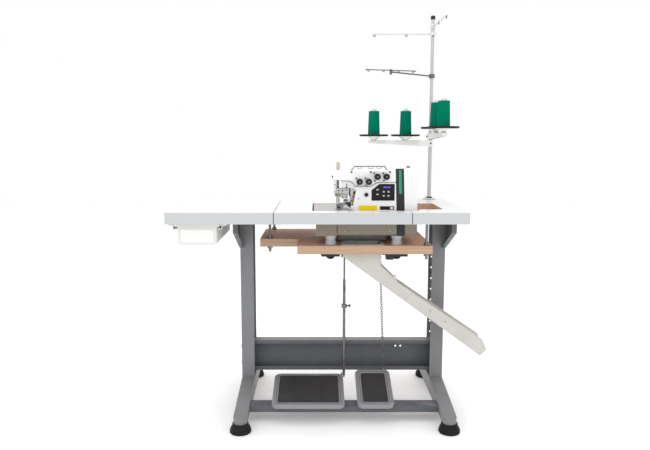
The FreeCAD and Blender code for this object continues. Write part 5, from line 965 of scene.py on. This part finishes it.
chuteLook = {
    "lap": ((321, 443.5), (348, 473), (604, 298.5), (623, 258), (605, 236.5)), "front": -165,
    "sheet": 1.2, "sheetChamfer": 0.4, "slots": ((425, 409), (444, 393), (474, 371)),
    "slotSize": (13, 4.5, 2), "slotDepth": 0.6, "slotChamfer": 0.2, "slope": 34.3, "rear": -87.5,
}


def buildChute():
    look = chuteLook
    setFlat("chuteLap", look["lap"], look["sheet"], look["sheetChamfer"], "chutePaint",
            (0, look["front"], 0))
    for i, (x, z) in enumerate(look["slots"]):
        piece = setFlat("chuteSlot%d" % (i + 1), roundedOutline(*look["slotSize"]), look["slotDepth"],
                        look["slotChamfer"], "blackPaint", (x, look["rear"], z))
        piece.rotation_euler = (0, math.radians(look["slope"]), 0)
    print("chute sheet and slots set:", 1 + len(look["slots"]))


buildChute()

mountLook = {
    "domes": ((48, -158), (48, 12), (289, -158), (289, 12)), "domeTop": 616, "domeSteps": 36,
    "dome": ((17, 0), (17.5, -4), (16, -10), (11.5, -15.5), (5.5, -18), (0.1, -18.4)),
    "ring": ((8.3, 0), (13, 0), (13, 2.6), (12, 4), (8.3, 4)), "ringAt": (471, 235, 787),
    "ringSteps": 40,
}


def buildMounts():
    # rubber domes under the board, and the ring at the pole's foot
    look = mountLook
    for i, (x, y) in enumerate(look["domes"]):
        setTurned("mountDome%d" % (i + 1), look["dome"], look["domeSteps"], "padRubber",
                  (x, y, look["domeTop"]), loop=False)
    setTurned("poleBaseRing", look["ring"], look["ringSteps"], "blackPlastic",
              look["ringAt"])
    print("domes and ring set:", len(look["domes"]) + 1)


buildMounts()

drawerLook = {
    "lipTop": 739.4, "lipDepth": 2.4, "corner": 2, "chamfer": 0.6, "faceInset": (22, 10), "faceDepth": 1.4,
    "faceCorner": 6, "faceChamfer": 1, "faceLift": 3, "runnerWide": 22, "runnerTall": 10,
    "runnerDepth": 2, "runnerGap": 1, "runnerBack": 10,
}


def buildDrawer():
    look = drawerLook
    low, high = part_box("drawer")
    low, high = ((Vector(corner) - tableMiddle) * 1000 for corner in (low, high))
    middle, wide = (low.x + high.x) / 2, high.x - low.x
    tall = look["lipTop"] - high.z
    setFlat("drawerLip", roundedOutline(wide, tall, look["corner"]), look["lipDepth"], look["chamfer"],
            "drawerPlastic", (middle, low.y + look["lipDepth"], high.z + tall / 2), "drawer")
    across, along = look["faceInset"]
    outline = roundedOutline(wide - 2 * across, high.z - low.z - 2 * along, look["faceCorner"])
    setFlat("drawerFace", outline, look["faceDepth"], look["faceChamfer"], "whitePlastic",
            (middle, low.y, (low.z + high.z + look["faceLift"]) / 2), "drawer")
    outline = roundedOutline(look["runnerWide"], look["runnerTall"], look["corner"])
    away = wide / 2 + look["runnerWide"] / 2 + look["runnerGap"]
    for i, side in enumerate((-1, 1)):
        spot = (middle + side * away, low.y + look["runnerBack"], look["lipTop"] - look["runnerTall"] / 2)
        setFlat("runnerCap%d" % (i + 1), outline, look["runnerDepth"], look["chamfer"], "drawerPlastic",
                spot)
    print("drawer lip, face and runner caps set")


buildDrawer()

# name, body, finish, slot, width, height, corner, depth, place of the middle of its back
fittingLooks = [
    ("looperRod", "frame", "blackPaint", "black_paint", 5, 30, 2.4, 3, (116.5, -162, 842.5)),
    ("knifeHolder", "frame", "copperBrown", "bright_steel", 9, 38, 2.5, 4, (130.5, -159.5, 814)),
    ("knifeClamp", "frame", "blackPaint", "black_paint", 11, 18, 2, 6, (115.5, -154, 798)),
    ("guardWing", "frame", "brightSteel", "bright_steel", 28, 19, 3, 1, (83.5, -162.5, 847.5)),
    ("guardEdge", "frame", "blackPaint", "black_paint", 45, 1.8, 0.8, 1, (93, -163, 857.2)),
    ("barShade", "frame", "blackPaint", "black_paint", 3, 14, 1.2, 0.8, (106, -160, 866)),
    ("looperArm", "frame", "darkSteel", "bright_steel", 17, 9, 3, 3, (104, -157, 813)),
    ("looperLink", "frame", "zincSteel", "bright_steel", 7, 24, 3, 3, (97, -156, 806)),
    ("looperFoot", "frame", "blackPaint", "black_paint", 9, 10, 2, 3, (106.5, -155, 801.5)),
    ("knobArm", "frame", "darkSteel", "bright_steel", 23, 9, 3, 2.5, (74.5, -150, 832)),
    ("plateLipLeft", "frame", "blackPaint", "black_paint", 68, 5, 2, 3, (47.5, -183, 613.8)),
    ("plateLipRight", "frame", "blackPaint", "black_paint", 82, 5, 2, 3, (286, -183, 613.8)),
    ("plateLump", "frame", "blackPaint", "black_paint", 32, 17, 7, 3, (262, -182.5, 608)),
    ("facePlate", "frame", "whitePlastic", "head_enamel", 54, 26, 5, 3, (111, -157, 872)),
    ("eyeletPlate", "frame", "brightSteel", "bright_steel", 25, 15, 3, 2.5, (98, -156.5, 827)),
    ("eyeletRidge", "frame", "darkSteel", "bright_steel", 27, 3, 1.4, 4, (98, -159, 835)),
    ("knifeArm", "frame", "zincSteel", "bright_steel", 14, 44, 5, 4, (126, -156, 822)),
    ("knifeCap", "frame", "blackPaint", "black_paint", 9, 9, 4, 5, (133, -160, 841)),
    ("footToe", "presser_foot", "blackPaint", "black_paint", 15, 5, 2.2, 3.5, (78, -152, 786)),
    ("chuteTab", "frame", "chutePaint", "chute_paint", 12, 20, 2, 2, (283, -164, 530)),
    ("housingSlot", "frame", "darkSteel", "zinc_steel", 8, 3, 1.4, 0.6, (64, -150, 868)),
]
fittingChamfer = 0.35
# profiles turned about Z
collarLook = {"at": (76, -112, 826), "steps": 28,
              "profile": ((4.1, 0), (4.8, 0), (5.2, 0.8), (5.2, 5.5), (4.6, 6.2), (4.1, 6.2))}
plugLook = {"at": (334, -100), "sink": 0.2, "steps": 28,
            "profile": ((0.1, 4), (5.2, 4), (6.8, 3), (7, 0))}


def buildFittings():
    setPlates(fittingLooks, fittingChamfer)
    setTurned("presserCollar", collarLook["profile"], collarLook["steps"], "brass",
              collarLook["at"], "presser_foot")
    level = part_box("motor_cover")[1][2] * 1000 - plugLook["sink"]
    setTurned("motorPlug", plugLook["profile"], plugLook["steps"], "blackPlastic",
              (*plugLook["at"], level), loop=False)
    print("small fittings:", len(fittingLooks) + 2)


buildFittings()

floorLook = {"colour": (0.96, 0.96, 0.96), "secondShare": 0.995, "toneScale": 0.6, "glow": 0.12, "rough": 0.9,
             "size": 14, "cells": 4, "drop": 0.0005}


def buildFloor():
    look = floorLook
    mesh = bmesh.new()
    bmesh.ops.create_grid(mesh, x_segments=look["cells"], y_segments=look["cells"], size=look["size"] / 2)
    material, tree, shader = startMaterial("studioFloor")
    tone = useGroup(tree, "tone", Scale=look["toneScale"])
    second = tuple(v * look["secondShare"] for v in look["colour"])
    colour = mixColour(tone["Tone"], look["colour"], second)
    feedAll(shader, {"Base Color": colour, "Emission Color": colour, "Roughness": look["rough"],
                     "Emission Strength": look["glow"]})
    floor = newObject("studioFloor", mesh, material)
    floor.location = (tableMiddle.x, tableMiddle.y, -look["drop"])


buildFloor()
print("floor laid")
